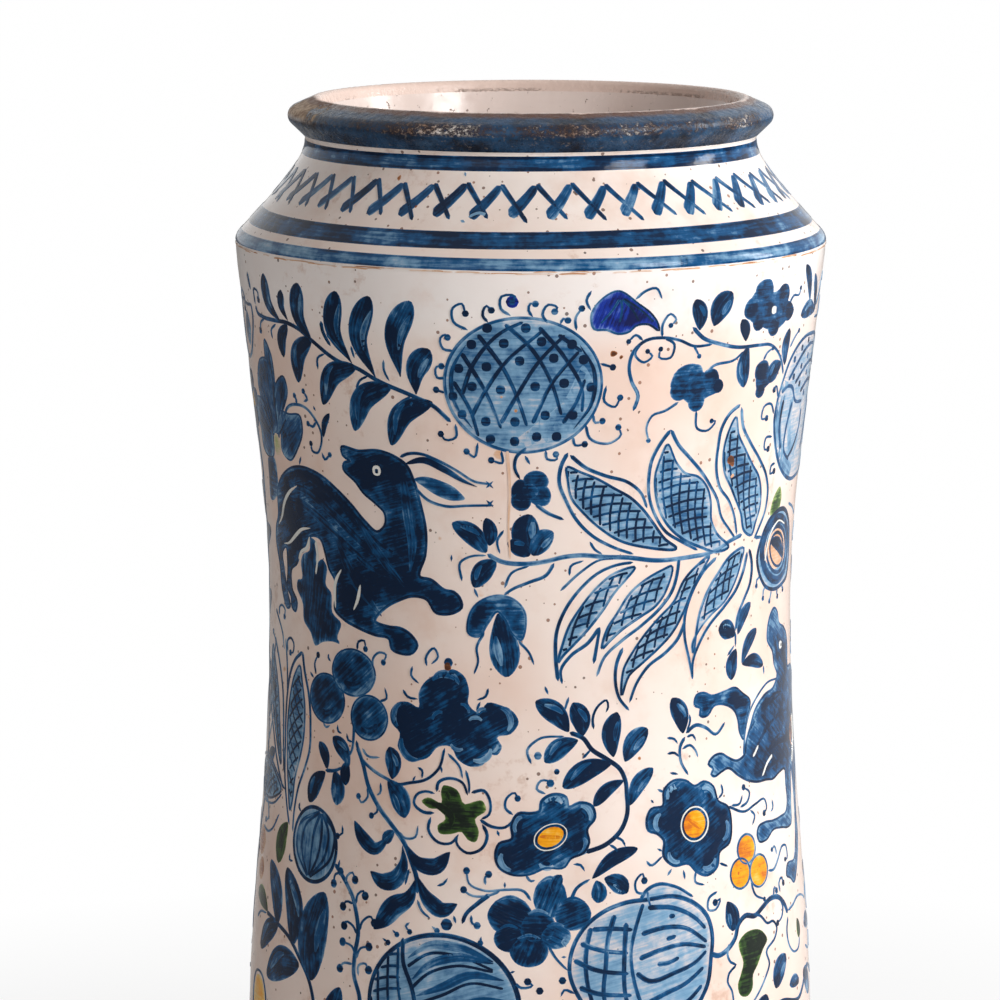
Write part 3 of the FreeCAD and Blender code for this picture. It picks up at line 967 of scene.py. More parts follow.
def hatched_spray(film):
    stroke(film, [
        (-11.4, 188.4), (-7.9, 186.6), (-2.1, 185.9), (4.3, 186.6), (8.6, 187.6), (13.6, 188), (20, 187.3),
        (25.7, 186.9), (35, 185.5), (45, 185.5), (52.1, 185.9), (60.7, 188.4), (65, 189.3),
    ], 1.3, load=0.62)
    curls(film, [
        [(7.9, 178.7), (13.6, 183.7), (18.6, 186.6), (23, 186.8)],
        [(10.4, 182.6), (10.7, 185.1), (14.3, 186.6)], [(15.7, 191.6), (17.1, 189.4), (19.3, 188)],
    ], 0)
    hatched_leaf(film, [
        (9.3, 211.2), (12.9, 209.8), (17.1, 208), (22.1, 205.1), (26.4, 202.6), (30, 199.4), (33.6, 195.1),
        (37.1, 190.9), (40.7, 188.4), (30.7, 189.4), (23.6, 191.6), (18.6, 194.8), (13.6, 199.4),
        (10.7, 203), (9.6, 208),
    ], [
        [(9.6, 215.1), (7.9, 211.6), (7.4, 207.5), (9.3, 202.3), (12.1, 197.3), (16.4, 193), (22.1, 189.8),
        (28, 187.6)],
        [(10, 214.4), (14.3, 210.9), (19.3, 208.7), (25.7, 206.6), (29.3, 203.7), (31.4, 199.4)],
    ], 4, 86)
    hatched_leaf(film, [
        (36.1, 215.9), (39.3, 210.9), (42.1, 208), (46.4, 206.6), (50, 203), (51.4, 199.4), (52.1, 194.4),
        (54.3, 190.9), (59.3, 186.6), (54.3, 185.9), (49.3, 187.6), (42.1, 190.9), (37.9, 194.4),
        (35, 198.7), (33.6, 203), (33.2, 208), (34.5, 212.5),
    ], [
        [(37, 219.8), (34, 216), (32, 212), (31.4, 208), (31.8, 202.3), (33.9, 197.3), (37.1, 193),
        (42, 190), (48, 187)],
        [(37, 219.8), (39.3, 215.9), (43.6, 211.6), (47.9, 207.3), (51.4, 203), (53.6, 200.1), (55.7, 195.1),
        (59.3, 191.2), (61.8, 188.7)],
    ], 6, 96)
    hatched_leaf(film, [
        (58.2, 221.2), (59.6, 216.6), (62.9, 212.3), (67.1, 207.3), (70, 204.4), (72.1, 200.1),
        (72.5, 195.9), (70.7, 191.6), (69.3, 188.7), (65.7, 190.1), (63.6, 195.1), (60.7, 199.4),
        (58.6, 202.5), (55.7, 206.6), (54.6, 211.6), (55.4, 216.6),
    ], [
        [(59.6, 224.4), (55.7, 222.3), (53.2, 218.7), (52.5, 213.7), (52.5, 208), (54.3, 203), (57.9, 199.4),
        (60.7, 195.1), (62.5, 189.4)],
        [(60, 223.7), (61.1, 218.7), (65, 213.7), (70, 208.7), (74.3, 203.7), (76.1, 199.4), (75.7, 194.4),
        (72.9, 190.1), (70.7, 187.3)],
    ], 8, 100)
    hatched_leaf(film, [
        (7.5, 160.1), (8.6, 164.4), (10.4, 169.4), (13.6, 174.4), (17.9, 179.4), (22.9, 183), (28.5, 184),
        (26.4, 181.6), (22.9, 178), (19.3, 173), (15.7, 168.7), (11.4, 164.4), (8.6, 161.6),
    ], [
        [(7.5, 155.1), (6.8, 162.3), (7.1, 168), (9.3, 173.7), (13.6, 179.4), (18.6, 183.4), (23.6, 185.1),
        (28, 185.5)],
        [(18.9, 169.1), (15.7, 165.1), (10.7, 161.6), (8.2, 158), (8.6, 154.4)],
    ], 70, 15, 2.4)
    hatched_leaf(film, [
        (19.6, 163.4), (20.7, 168), (23.6, 172.3), (27.1, 177.3), (32.1, 180.9), (37.1, 183), (39.3, 183.7),
        (37.9, 177.3), (35, 173.7), (30, 170.9), (25, 168), (21.4, 165.1),
    ], [
        [(17.1, 159.4), (17.9, 163.7), (18.9, 169.1)],
        [(41.8, 185.9), (41.4, 181.6), (40, 177.3), (36.4, 173), (30.7, 168.7), (25, 165.1), (20, 160.9),
        (17.9, 156)],
    ], 70, 15, 2.4)
    hatched_leaf(film, [
        (25, 150.9), (25.7, 158), (27.9, 161.6), (31.4, 165.9), (35.7, 170.1), (40.7, 174.4), (43.6, 179.4),
        (47.9, 183), (52.1, 185.1), (49.3, 180.9), (46.4, 176.6), (43.6, 170.9), (40, 165.9), (35.7, 162.3),
        (30.7, 158.7), (27.1, 155.9),
    ], [
        [(25.4, 163.4), (23.6, 159.4), (23.2, 154.4), (24.3, 150.1), (27.1, 146.7)],
        [(44.6, 169.1), (42.1, 164.4), (37.9, 160.9), (32.9, 158), (29.3, 153.7), (27.1, 148.7)],
    ], 72, 18, 2.3)
    hatched_leaf(film, [
        (47.1, 160.1), (48.2, 165.1), (49.3, 170.1), (52.1, 175.9), (55.7, 180.1), (60.7, 184.4),
        (66, 185.5), (65, 181.6), (62.9, 177.3), (58.6, 172.3), (53.6, 169.4), (49.3, 165.9), (46.8, 161.6),
    ], [
        [(55, 184.5), (50.7, 181.6), (46.4, 175.9), (44.3, 170.1), (44.3, 164.4), (45.7, 158.7),
        (47.1, 153)],
        [(67.9, 184.4), (66.4, 179.4), (63.6, 175.1), (58.6, 170.9), (52.9, 166.6), (49.3, 162.3),
        (47.1, 158), (46.8, 153)],
        [(68.6, 185.1), (70.4, 180.9), (70, 175.9), (67.1, 171.6), (64.3, 167.3), (63.6, 163.7)],
    ], 75, 20, 2.4)


paint_twice(hatched_spray)

# Buds, trefoil and tulip. Small dark leaves, in one stroke each, on stems that branch from the spray and
# stand over the second hare.


def buds(film):
    leaves(film, [
        (-0.3, 188.9, 0, 199.1, 7), (0, 188, -6, 191.4, 4.6), (0.6, 188, 6.1, 194.4, 5.2),
        (-11.4, 188.7, -20.7, 196.2, 5), (-10.7, 190.5, -11.6, 197.9, 3.6), (-8.9, 186.6, -15, 179.4, 5),
    ], fullest=0.5)
    curls(film, [
        [(-15, 179.4), (-13.8, 176.8)], [(-18.2, 180.9), (-18.6, 185.9), (-15.7, 187.6), (-11.4, 188)],
        [(-20.9, 188), (-21.1, 185.9)], [(-6.8, 194.8), (-8.6, 191.9), (-7.9, 188.4)],
        [(-6.8, 179.4), (-5, 183.4), (0, 185.5)],
    ], 0)
    stem(film, [(6.4, 186.2), (4.3, 183), (0, 181.2), (-5, 179.1), (-7.1, 177.6)], 1.1, 0.75)
    dome = [
        (-16.4, 167.3), (-16.6, 170.9), (-15, 174.4), (-11.4, 176.9), (-7.9, 177.6), (-4.3, 176.6),
        (-1.4, 173.4), (-1.1, 170.1), (-2.5, 165.9), (-5, 168), (-6.4, 170.9), (-8.6, 173.4), (-11.4, 170.1),
        (-13.9, 166.7),
    ]
    film.pot = "fill"
    fill(film, dome, 0.98, grain=1.4)
    film.pot = "line"
    contour(film, dome, 0.7, 0.6)
    leaves(film, [(-8.6, 173, -6.1, 156.2, 7.5)], bend=0.02, fullest=0.6)
    curls(film, [
        [(-12.1, 168), (-14.3, 163.7), (-13.9, 160.1), (-15.1, 156.7)],
        [(-3.2, 165.9), (0, 162.3), (1.1, 159.4)], [(63.6, 163.7), (63.6, 159.4)],
        [(77.9, 152.6), (78.2, 149.8)], [(60, 157.6), (63.2, 160.1)],
    ], 0)
    leaves(film, [
        (63.6, 162.6, 56.4, 165.1, 5), (64.6, 162.6, 70.7, 170.5, 3.6), (63.9, 159.1, 61.8, 150.9, 4.6),
        (66.4, 154.8, 74.1, 163, 3.6), (66.4, 154.6, 77.9, 152.6, 3.6),
    ])


paint_twice(buds)

# Round fruit. It hangs at the tip of the spray, split open, with rings of dark strokes round a buff
# middle and a dark eye.


def round_fruit(film):
    outline = [
        (73.2, 181.6), (75, 187), (78.5, 191), (83.6, 192.9), (90, 192.5), (95, 189), (98, 184), (99, 178),
        (97, 173.7), (92, 172.3), (84.3, 171.9), (78, 174), (74.5, 178),
    ]
    film.pot = "wash"
    fill(film, outline, 0.34)
    film.pot = "brown"
    fill(film, [(76.5, 183), (80, 188), (86, 188.6), (92, 185), (94, 180), (88, 177), (81, 178)], 0.3)
    film.pot = "line"
    contour(film, outline, 1.3, 0.85)
    turns = [k * math.pi / 5 for k in range(10)]
    for grow, width, load in ((0.83, 2.9, 0.82), (0.62, 1.3, 0.8), (0.45, 1.0, 0.8)):
        ring = [(
            86 + 12.4 * grow * math.cos(a), 182.4 + 10 * grow * math.sin(a) - 1.5 * math.cos(a),
        ) for a in turns]
        contour(film, ring, width, load)
    leaves(film, [(80.2, 185.6, 92, 179.2, 3.8)], fullest=0.5)
    film.pot = "white"
    stem(film, [(77.5, 180), (79.5, 187), (84.5, 190.2), (91, 188.5)], 0.6, 0.5)
    film.pot = "green"
    fill(film, [(78.9, 192.6), (79.6, 196), (84.3, 199.6), (86.4, 196.2), (85, 193)], 0.75)
    film.pot = "line"
    stem(film, [(71, 187.6), (75, 187.3)], 1.2)
    stem(film, [(93.6, 193.7), (99, 192), (105, 189)])
    curls(film, [
        [(75.5, 176.5), (73.5, 176), (73.4, 174.4)], [(79, 173.5), (77.5, 172.5), (77.5, 170.5)],
        [(83, 172), (82.4, 170.5), (81.8, 169.1)], [(87.5, 172), (87.3, 170.6), (87.9, 169.4)],
        [(92.5, 172.5), (92, 171.5), (92.9, 170.5)],
    ], 0.8)


paint_twice(round_fruit)

# Second hare. It runs at the right with its head up and its legs stretched to the left. Its body is a
# thinner wash than the first one's, with darker strokes along the back and flank.


def second_hare(film):
    body = [
        (67.1, 130.9), (67.5, 133), (70, 137.3), (72.9, 141.6), (77.9, 144.4), (85, 145.9), (87.5, 148.5),
        (85.4, 151.6), (84.3, 155.1), (80.4, 159.4), (80.7, 161.6), (82.5, 165.1), (85.4, 166.7),
        (88.2, 165.1), (89.3, 162.3), (94.3, 160.1), (97.9, 157.3), (99.3, 153.7), (99, 149), (105, 148),
        (112, 144), (116, 137), (115, 128), (109, 121), (103, 115), (101.4, 109.4), (101, 103), (99.3, 98.7),
        (95.7, 93.7), (92.1, 91.2), (89.3, 93), (86.4, 94.4), (87.1, 96.6), (94.3, 97.3), (97, 101),
        (99.3, 108), (97.9, 121.6), (96.4, 118), (95, 112.3), (93.6, 106.9), (90.7, 106.6), (85, 107.6),
        (79.3, 108), (75, 106.2), (71.4, 106.6), (70.7, 108.4), (71.4, 110.1), (75, 110.9), (79.3, 110.5),
        (85, 110.5), (90, 111.2), (91.4, 113.7), (91.1, 118), (91.4, 122), (86.4, 122.3), (81.4, 121.4),
        (77.9, 121.9), (72.1, 122.3), (67.1, 123.7), (63.6, 125.5), (59.3, 128), (56.4, 127.3),
        (53.9, 126.6), (52.9, 127.3), (53.7, 128.6), (52, 130.1), (53.6, 131.7), (57.1, 132.1),
        (59.3, 130.9), (63.6, 129.4),
    ]
    film.pot = "fill"
    fill(film, body, 0.74, grain=1.8, turn=-0.6)
    foreleg = [
        (47.5, 146.2), (48.2, 148.7), (50.7, 149.1), (53.6, 148), (58.6, 148.4), (63.6, 148.7),
        (66.4, 146.9), (70, 144.4), (68, 139), (66.4, 134.6), (65, 136.6), (64.3, 140.1), (63.2, 142.3),
        (59.3, 144.8), (54.3, 145.1), (52.1, 143), (50.4, 142.8), (49.3, 143.4), (49.6, 145.1),
    ]
    fill(film, foreleg, 0.95, grain=1.6)
    for line, width in (
        ([(69, 136), (76, 141), (84, 143), (92, 143)], 3.4),
        ([(72, 131), (80, 136), (90, 138), (100, 137)], 3.0), ([(78, 129), (87, 131), (97, 129)], 3.6),
        ([(92, 158), (95, 152), (96, 146)], 4), ([(84, 162), (86.5, 156), (90, 151)], 2.6),
        ([(70, 124.5), (80, 125), (90, 125.5)], 2.0),
    ):
        stroke(film, line, width, 0.5, load=1.0)
    film.pot = "line"
    contour(film, body, 0.7, 0.85)
    contour(film, foreleg, 0.7, 0.85)
    stem(film, [(66.3, 130), (67.5, 136.6), (70, 141.6), (74.3, 145.1), (79.3, 147.3), (87.9, 147.4)], 0.8)
    film.pot = "white"
    dot(film, 90.7, 155.9, 1.2, 0.8)
    stem(film, [(82.1, 128), (77.9, 125.9), (75, 123)], 0.8, 0.5)
    stem(film, [(70.5, 129), (73.9, 132)], 0.8, 0.5)
    stem(film, [(100, 122), (104, 128), (105, 135)], 0.8, 0.5)
    film.pot = "over"
    dot(film, 90.8, 155.9, 0.55, 1.0)
    film.pot = "brown"
    fill(film, [(99, 128), (101, 134), (104, 135), (105, 129), (102, 126)], 0.6)
    film.pot = "line"
    curls(film, [
        [(58.6, 118), (65.7, 115.5), (70.7, 116.6), (75.7, 116.9), (76.4, 114.4), (75, 113.4)],
        [(63.6, 116.9), (67.1, 118), (68.2, 120.1), (65.7, 121.9)],
    ])
    curls(film, [
        [(67.9, 115.5), (70, 113.7), (68.6, 111.2)], [(60, 118), (63.6, 118), (65, 120.1)],
        [(80, 116.2), (80, 113.7), (78.6, 113)],
    ], 0)


paint_twice(second_hare)

# Leafy branches. Long curving stems, each pulled in one go, with leaves pressed down on both sides and
# fine tendrils.


def upper_branch(film):
    stroke(film, [
        (-87.9, 247.3), (-86.8, 245.5), (-83.6, 244.8), (-76.4, 244.6), (-70, 244.6), (-65, 243.4),
        (-60.7, 241.2), (-50.7, 236.2), (-45.7, 235.1), (-40, 232.5), (-29.3, 228.7), (-25, 226.9),
        (-20, 222.6),
    ], 1.2)
    leaves(film, [
        (-73, 244.4, -80, 256.6, 4.5), (-69.5, 245.1, -71.4, 253.2, 3), (-60, 240.5, -64, 255.8, 5.3),
        (-47, 236.2, -50.6, 254.8, 5.6), (-40, 232.8, -40.6, 254.2, 5.8),
    ], bend=-0.2, fullest=0.68, tip=0.55)
    leaves(film, [
        (-33, 233.7, -29.3, 253.6, 6), (-29, 229.3, -25, 241.4, 5.6),
    ], bend=0.14, fullest=0.66, tip=0.55)
    leaves(film, [
        (-70.1, 244.1, -73.2, 235.1, 4), (-60.4, 241.6, -67.5, 229.1, 5.5),
        (-45.7, 235.5, -58.2, 224.3, 5.5), (-35.7, 231.2, -47.9, 218.4, 6),
        (-24.6, 227.6, -36.8, 215.5, 5.5),
    ], bend=0.2, fullest=0.5)
    curls(film, [
        [(-87.9, 247.3), (-87.5, 251.7), (-84.6, 250.9), (-85, 249.1)],
        [(-82.1, 244.4), (-85, 243), (-85.7, 240.9)],
    ], 1.0)
    curls(film, [
        [(-75.7, 243.7), (-78.6, 241.6), (-78.2, 239.4)], [(-55, 243.4), (-47.9, 237.3)],
        [(-47, 240.9), (-46.1, 237.6)], [(-58.9, 233.4), (-58.6, 236.6), (-55.7, 238)],
        [(-46.4, 229.4), (-45, 231.9), (-42.1, 233.4)], [(-37.5, 238), (-37.5, 235.1), (-36.1, 232.3)],
        [(-34.6, 224.1), (-34.3, 225.9), (-30, 229.1)], [(-31.1, 225.9), (-29.6, 228)],
    ], 0)
    stem(film, [(-56.4, 246.6), (-56.1, 244.1), (-53.6, 240.1)], 1.4, 0.8)
    stem(film, [(-91.8, 255.9), (-90.4, 250.9)], 1.6, 0.8)


def centre_branch(film):
    stroke(film, [(10.4, 141.9), (14.3, 140.1), (16.4, 137.3), (20.7, 134.4), (24.3, 131.6), (25.7, 128.7),
                  (26.1, 124.4), (26.1, 120.1), (24.3, 115.9), (20, 112.3), (14.3, 110.5)], 1.3)
    leaves(film, [
        (10.4, 141.9, 1.4, 150.1, 5.2), (13.9, 140.5, 11.4, 149.6, 5), (12.9, 139.8, 3.9, 134.1, 4.8),
        (22.5, 134.8, 23.6, 146.6, 5), (25.7, 133.4, 32.5, 141.7, 5.2), (22.1, 133.4, 8.6, 127.4, 5.2),
        (26.8, 121.9, 33.9, 131.2, 4.2), (25.4, 128.7, 16.8, 122.3, 3.4), (43.6, 139.1, 39.9, 148.9, 5),
    ])
    curls(film, [
        [(0.4, 133.7), (-0.7, 137.3), (2.1, 140.1), (9.3, 140.9)], [(10.4, 151.2), (9.1, 147.3)],
        [(3.9, 154.1), (4.9, 151.7)],
        [(17.1, 142.3), (16.8, 145.1), (18.6, 148.7), (20.7, 149.8), (21.1, 148), (20.4, 146.6)],
        [(13.9, 134.8), (16.4, 137.3)], [(22.5, 114.1), (24.6, 113), (25.4, 111.2)],
        [(20.7, 112.3), (22.5, 111.2), (23.6, 109.4)], [(11.1, 107.6), (13.2, 107.3), (14.3, 105.5)],
        [(-1.1, 105.1), (0.4, 103.4), (1.4, 103.7)], [(45.7, 144.1), (45.9, 142.3), (44.6, 139.4)],
        [(38.2, 138.6), (40.7, 138), (41.8, 136.6)], [(38.2, 134.4), (40.7, 134.4), (42.3, 133)],
        [(44.6, 138.1), (46.8, 138.4), (47.9, 136.6)],
        [(43, 135.1), (45.7, 135.9), (47.5, 134.4), (48.4, 132.3)],
    ], 0)
    curls(film, [[(4.3, 125.9), (1.8, 127.3), (2.9, 129.4), (4.6, 129.4), (5.4, 128.7)]], 1.1)
    dot(film, 2.1, 135.9, 1.1)
    dot(film, 7.1, 131.7, 0.8)
    stem(film, [(44.3, 138.4), (42.5, 135.9), (42.5, 132.3), (45, 128)], 1.1)
    stem(film, [(44.3, 139.1), (47.9, 140.9), (51.4, 139.8), (55, 137.6), (58.9, 140.3)], 1.2)


paint_twice(upper_branch)
paint_twice(centre_branch)


def right_scroll(film):
    stem(film, [(26.1, 225.1), (27.3, 229.1), (25.4, 233), (24.6, 236.6), (25.7, 240.9), (28.6, 243.4),
                (33.6, 243.9), (37.9, 243), (42.1, 241.2), (47.9, 241.2)], 1.1)
    stem(film, [
        (41.4, 246.2), (45, 243), (50, 241.2), (55.7, 239.8), (65, 239.4), (69.3, 239.1), (72.9, 237.3),
        (75.7, 234.4), (77.9, 230.1),
    ], 1.2, 0.75)
    stem(film, [(46, 233), (48, 235.1), (56, 236.6), (59, 238.5)])
    leaves(film, [
        (43.6, 245.1, 41.8, 253.4, 4.2), (47.9, 245.9, 53.2, 254.4, 6), (59.3, 240.9, 57.1, 246.9, 3.3),
        (60.4, 239.8, 60.1, 228.7, 4.6), (78.1, 232.6, 78.9, 242.4, 3.8), (91.4, 248, 85, 258.4, 3.5),
        (97.9, 244.4, 93.6, 255.1, 3.5), (97.9, 244.8, 85, 245.1, 4.5), (76.1, 233.7, 70, 229, 5),
    ])
    film.pot = "fill"
    for core in (
        [
            (36, 231), (38, 235.5), (43, 236.6), (46, 234), (51, 232), (52, 229.4), (47, 227), (44, 225),
            (40, 227.4),
        ],
        [
            (58.5, 249), (60, 252.5), (66, 256), (69, 253), (73, 254), (75, 251), (79, 248), (76, 244.5),
            (71, 242.6), (64, 244.5), (60.5, 246),
        ],
        [(64.5, 231), (66, 234.6), (70, 233), (75.5, 234), (74, 230.6), (70, 228), (66.5, 226.4)],
    ):
        fill(film, core, 0.85, rim=0.5, grain=1.5)
    film.pot = "line"
    for u, z, radius in (
        (39.3, 233, 2.7), (42.9, 233.7, 2.7), (38.6, 229.4, 2.5), (47.9, 231.9, 2.9), (44.3, 226.6, 2.7),
        (50.7, 230.1, 2), (44, 230.5, 2.9), (65, 253.4, 3.7), (60.7, 249.4, 3), (63.6, 245.9, 2.8),
        (73.6, 251.6, 3.2), (77.1, 246.9, 2.8), (70.4, 244.1, 2.8), (67, 249, 3.2), (72.5, 247.4, 3),
        (67.1, 232.3, 3), (67.1, 227.3, 2.1),
    ):
        dot(film, u, z, radius, 1.0)
    film.pot = "white"
    dot(film, 69.5, 248.2, 1.2, 0.5)
    film.pot = "line"
    curls(film, [
        [(77, 249), (79, 250.9), (82.5, 251), (83, 252.5)],
        [(27.5, 243), (26, 240), (28.5, 237.8), (30.6, 239.4), (29.3, 240.6)],
        [(33, 244), (33, 247.5), (35, 250), (36.6, 248.4), (35.2, 247)],
        [(33.5, 244), (36.5, 242), (35.6, 238.6), (32.4, 239), (32.8, 241)],
        [(28, 243.4), (26, 245), (24.2, 243.4)], [(42, 241.5), (43, 240), (44, 238.4)],
        [(67, 235), (68.5, 237), (71, 238)],
        [(38.9, 226.9), (35, 224.8), (31.4, 223.7), (30, 220.9), (30.7, 217.3)],
        [(44.3, 224.4), (45, 219.4), (48.6, 218.7), (50.7, 220.9), (49.5, 221)],
        [(80, 237), (82.5, 239.5), (85, 241)], [(98, 246), (103, 249), (107, 254), (110, 252)],
        [(99, 243), (106, 243), (112, 247), (116, 245)],
    ], 0.7)
    film.pot = "deep"
    cap = [
        (21.1, 256.6), (14.6, 250.1), (15.4, 246.9), (18.6, 246.6), (21.4, 245.5), (24.3, 246),
        (25.7, 247.3), (29.3, 247.6), (32.1, 245.9), (31.8, 247.3), (30, 250.1), (26.4, 253),
    ]
    fill(film, cap, 0.95, grain=1.3, turn=1.2)
    film.pot = "line"
    contour(film, cap, 0.6, 0.8)
    for end in (16.5, 21.5, 27, 31):
        stem(film, [(21.8, 255), ((21.8 + end) / 2 + 0.5, 251.5), (end, 247.8)], 0.8, 0.95)
    curls(film, [
        [(25.4, 254.1), (27.9, 256.2), (30.7, 256.9), (32.5, 253.9)],
        [(14.6, 256.9), (13.4, 254.4), (14.6, 251.6)],
    ], 0)


paint_twice(right_scroll)

# Feathered flower. Its petals are streaked from a pale base, over a dark wedge, with a tight scroll at
# its right and a small lozenge flower behind it.


def feathered_flower(film):
    film.pot = "fill"
    for petal, turn in (
        ([
            (-84.6, 233.7), (-83.6, 238.7), (-80.4, 235.1), (-79.9, 231.6), (-80, 226.6), (-81, 214),
            (-83.5, 214),
        ], 1.5),
        ([
            (-84.6, 233.7), (-89.3, 232.6), (-92.1, 229.4), (-93.2, 225.1), (-92.1, 222.3), (-86, 213),
            (-83, 214),
        ], 2.0),
        ([
            (-92, 222), (-96.1, 221.9), (-99.3, 220.1), (-98.9, 216.6), (-96.4, 213), (-95.7, 208.7),
            (-90.7, 206.6), (-86.4, 207.3), (-85, 213),
        ], 2.4),
        ([
            (-80, 226.6), (-74.3, 229.8), (-73.2, 226.6), (-75.4, 222.3), (-79.3, 218), (-81, 213),
            (-81, 220),
        ], 1.1),
        ([
            (-79, 220.1), (-73.6, 220.1), (-68.2, 220.1), (-67.9, 216.6), (-70.7, 211.6), (-75.7, 207.6),
            (-79.6, 209.6), (-79.5, 214),
        ], 0.7),
    ):
        fill(film, petal, 0.72, grain=1.5, turn=turn)
        contour(film, petal, 0.6)
        film.pot = "line"
        base = np.array([-82.5, 212.0])
        for far in petal[: 4]:
            tip = base + 0.85 * (np.array(far) - base)
            stem(film, [tip, base + 0.25 * (tip - base)], 0.8, 0.85)
        film.pot = "fill"
    film.pot = "green"
    fill(film, [(-85, 212), (-83, 214.5), (-80.5, 212), (-81, 208.5), (-84, 208)], 0.25)
    film.pot = "fill"
    fill(film, [
        (-92.1, 205.9), (-85.7, 206.6), (-85, 200.9), (-86.1, 197.3), (-93.6, 194.8), (-93.2, 200.9),
    ], 0.95)
    film.pot = "line"
    curls(film, [
        [(-76.4, 218.7), (-74.3, 221.6), (-69.3, 223.2), (-65, 222.6), (-61.8, 220.1), (-59.9, 216.6),
        (-60.4, 213.4), (-62.1, 211.2), (-64.3, 211.6), (-64.6, 213.4)],
        [(-69.3, 223.2), (-69.2, 224.5), (-69.9, 225.5)], [(-66.1, 224.3), (-64.3, 225.1), (-65.7, 227.1)],
        [(-61.5, 219.5), (-63.2, 218), (-65, 218.6)], [(-60.4, 211.6), (-59.3, 209.8), (-57.3, 211.2)],
    ], 0.8, 1.0)
    curls(film, [[(-62.1, 223.7), (-61.3, 222.3)], [(-69.6, 209.4), (-70.9, 206.9)]], 0)
    leaves(film, [(-59.3, 215.5, -56.1, 222.3, 2)])
    contour(film, [
        (-103, 247.3), (-95.7, 246.6), (-91.8, 246.6), (-91.4, 243.7), (-93.6, 238), (-97.1, 233.7),
        (-103, 232), (-108, 236), (-109, 243),
    ], 1.0, 0.8)
    film.pot = "fill"
    fill(film, [(-101.7, 240), (-98.2, 245), (-94.8, 240.1), (-98.2, 235.2)], 0.95)


paint_twice(feathered_flower)

# Berries and lobed flower. Round dark berries and a broad flower hang below the hare, on stems that run
# down through crescent leaves.


def berries(film):
    film.pot = "fill"
    for u, z, wide, tall in ((-62.4, 146, 7.4, 6.5), (-52.1, 154.2, 7.9, 6.1), (-46.2, 143, 6.2, 5.8)):
        ring = oval(u, z, wide, tall, 10)
        fill(film, ring, 0.9, rim=1.8, grain=1.5, turn=0.7)
        stroke(film, [
            (u - 0.5 * wide, z - 0.4 * tall), (u, z - 0.6 * tall), (u + 0.6 * wide, z - 0.2 * tall),
        ], 3, 0.5, load=1.0)
        contour(film, ring, 0.6, 0.8)
    film.pot = "line"
    curls(film, [
        [(-50.6, 160.1), (-50, 162.6), (-47.9, 163), (-47.6, 160.9)],
        [(-45.1, 156.2), (-45, 158.7), (-42.9, 160.5), (-40.7, 160.1), (-41.6, 158)],
        [(-67.1, 151.6), (-67.9, 154.4), (-66.4, 156.9)],
        [(-46.1, 125.1), (-45.7, 122.3), (-47.9, 120.5), (-48.9, 122)],
        [(-42.9, 121.6), (-42.5, 118.7), (-44.3, 117.5)],
    ])
    curls(film, [
        [(-68.2, 150.5), (-70.2, 151.9)], [(-60.7, 155.9), (-61.8, 156.9), (-61.6, 158)],
        [(-42.9, 147.6), (-40.4, 148.7), (-41.1, 151.6)], [(-63.6, 139.4), (-62.1, 138.4), (-60.4, 139.1)],
        [(-57.5, 139.8), (-57.1, 138), (-55.7, 137.6)], [(-53.9, 138), (-53.2, 136.2), (-51.4, 135.9)],
        [(-48.2, 134.8), (-46.4, 133), (-42.1, 133)], [(-41.8, 126.6), (-41.8, 123.7), (-42.9, 123)],
        [(-30.7, 131.6), (-29.3, 130.9), (-29.3, 128.7)], [(-32.1, 127.6), (-31.1, 129.4)],
        [(-23.9, 132.6), (-23.6, 130.5)], [(-35.4, 114.4), (-34.3, 113.1), (-30.7, 113.4), (-30, 116.6)],
        [(-32.1, 105.1), (-33.2, 100.5)], [(-29.6, 97.3), (-28.2, 94.4), (-25.7, 92.6)],
        [(-28.6, 104.6), (-24.3, 105.1), (-21.3, 108)], [(-24.4, 101.2), (-22.5, 101.9), (-21.3, 103.6)],
    ], 0)
    stem(film, [(-51.3, 140.9), (-51.3, 137.3), (-51.8, 133.7), (-53.9, 130.9)], 1.1)
    stem(film, [
        (-50.4, 136.6), (-48.6, 132.3), (-44.3, 129.4), (-39.6, 127.6), (-36.4, 126.6), (-32.9, 127.3),
        (-27.9, 128.7), (-24.6, 131.6), (-22.9, 137.3),
    ], 1.1, 0.75)
    stroke(film, [
        (-50, 135.1), (-47.9, 130.9), (-45.7, 125.1), (-42.1, 120.1), (-37.1, 115.1), (-33.9, 111.6),
        (-31.4, 106.6), (-30, 103), (-29.6, 98.7),
    ], 1.4)
    stem(film, [(-62.1, 126.9), (-58.2, 127.4), (-55, 128.7)], 1.2)
    leaves(film, [
        (-61.1, 127.3, -65, 134.1, 3.6), (-52.5, 129.4, -59.3, 136.2, 4.4),
        (-53.2, 130.9, -53.6, 124.1, 3.6), (-61.8, 126.6, -68.4, 117.3, 5), (-58.2, 127.6, -56.8, 118.4, 5),
        (-38.2, 127.6, -39.3, 136.2, 4.6), (-39.6, 127.6, -33.9, 118, 5.4), (-36.8, 114.4, -40, 110.5, 3),
    ])
    for line, width in (
        ([(-37.5, 113.7), (-42.9, 109.1), (-47.1, 111.6), (-50, 115.5)], 4.2),
        ([(-34.3, 110.9), (-33.9, 105.9), (-36.4, 101.6), (-40, 100.9), (-43.9, 103)], 5),
        ([(-33.6, 111.6), (-29.3, 106.6), (-25, 106.2), (-20.9, 110.3)], 4.6),
        ([(-30, 103.7), (-26.4, 97.3), (-22.9, 95.1), (-18.6, 96.9)], 4.6),
        ([(-30, 103), (-32.1, 97.3), (-36.4, 94.4), (-39.3, 90.9), (-42, 88)], 6),
    ):
        stroke(film, line, width, 0.6, load=0.97)


paint_twice(berries)


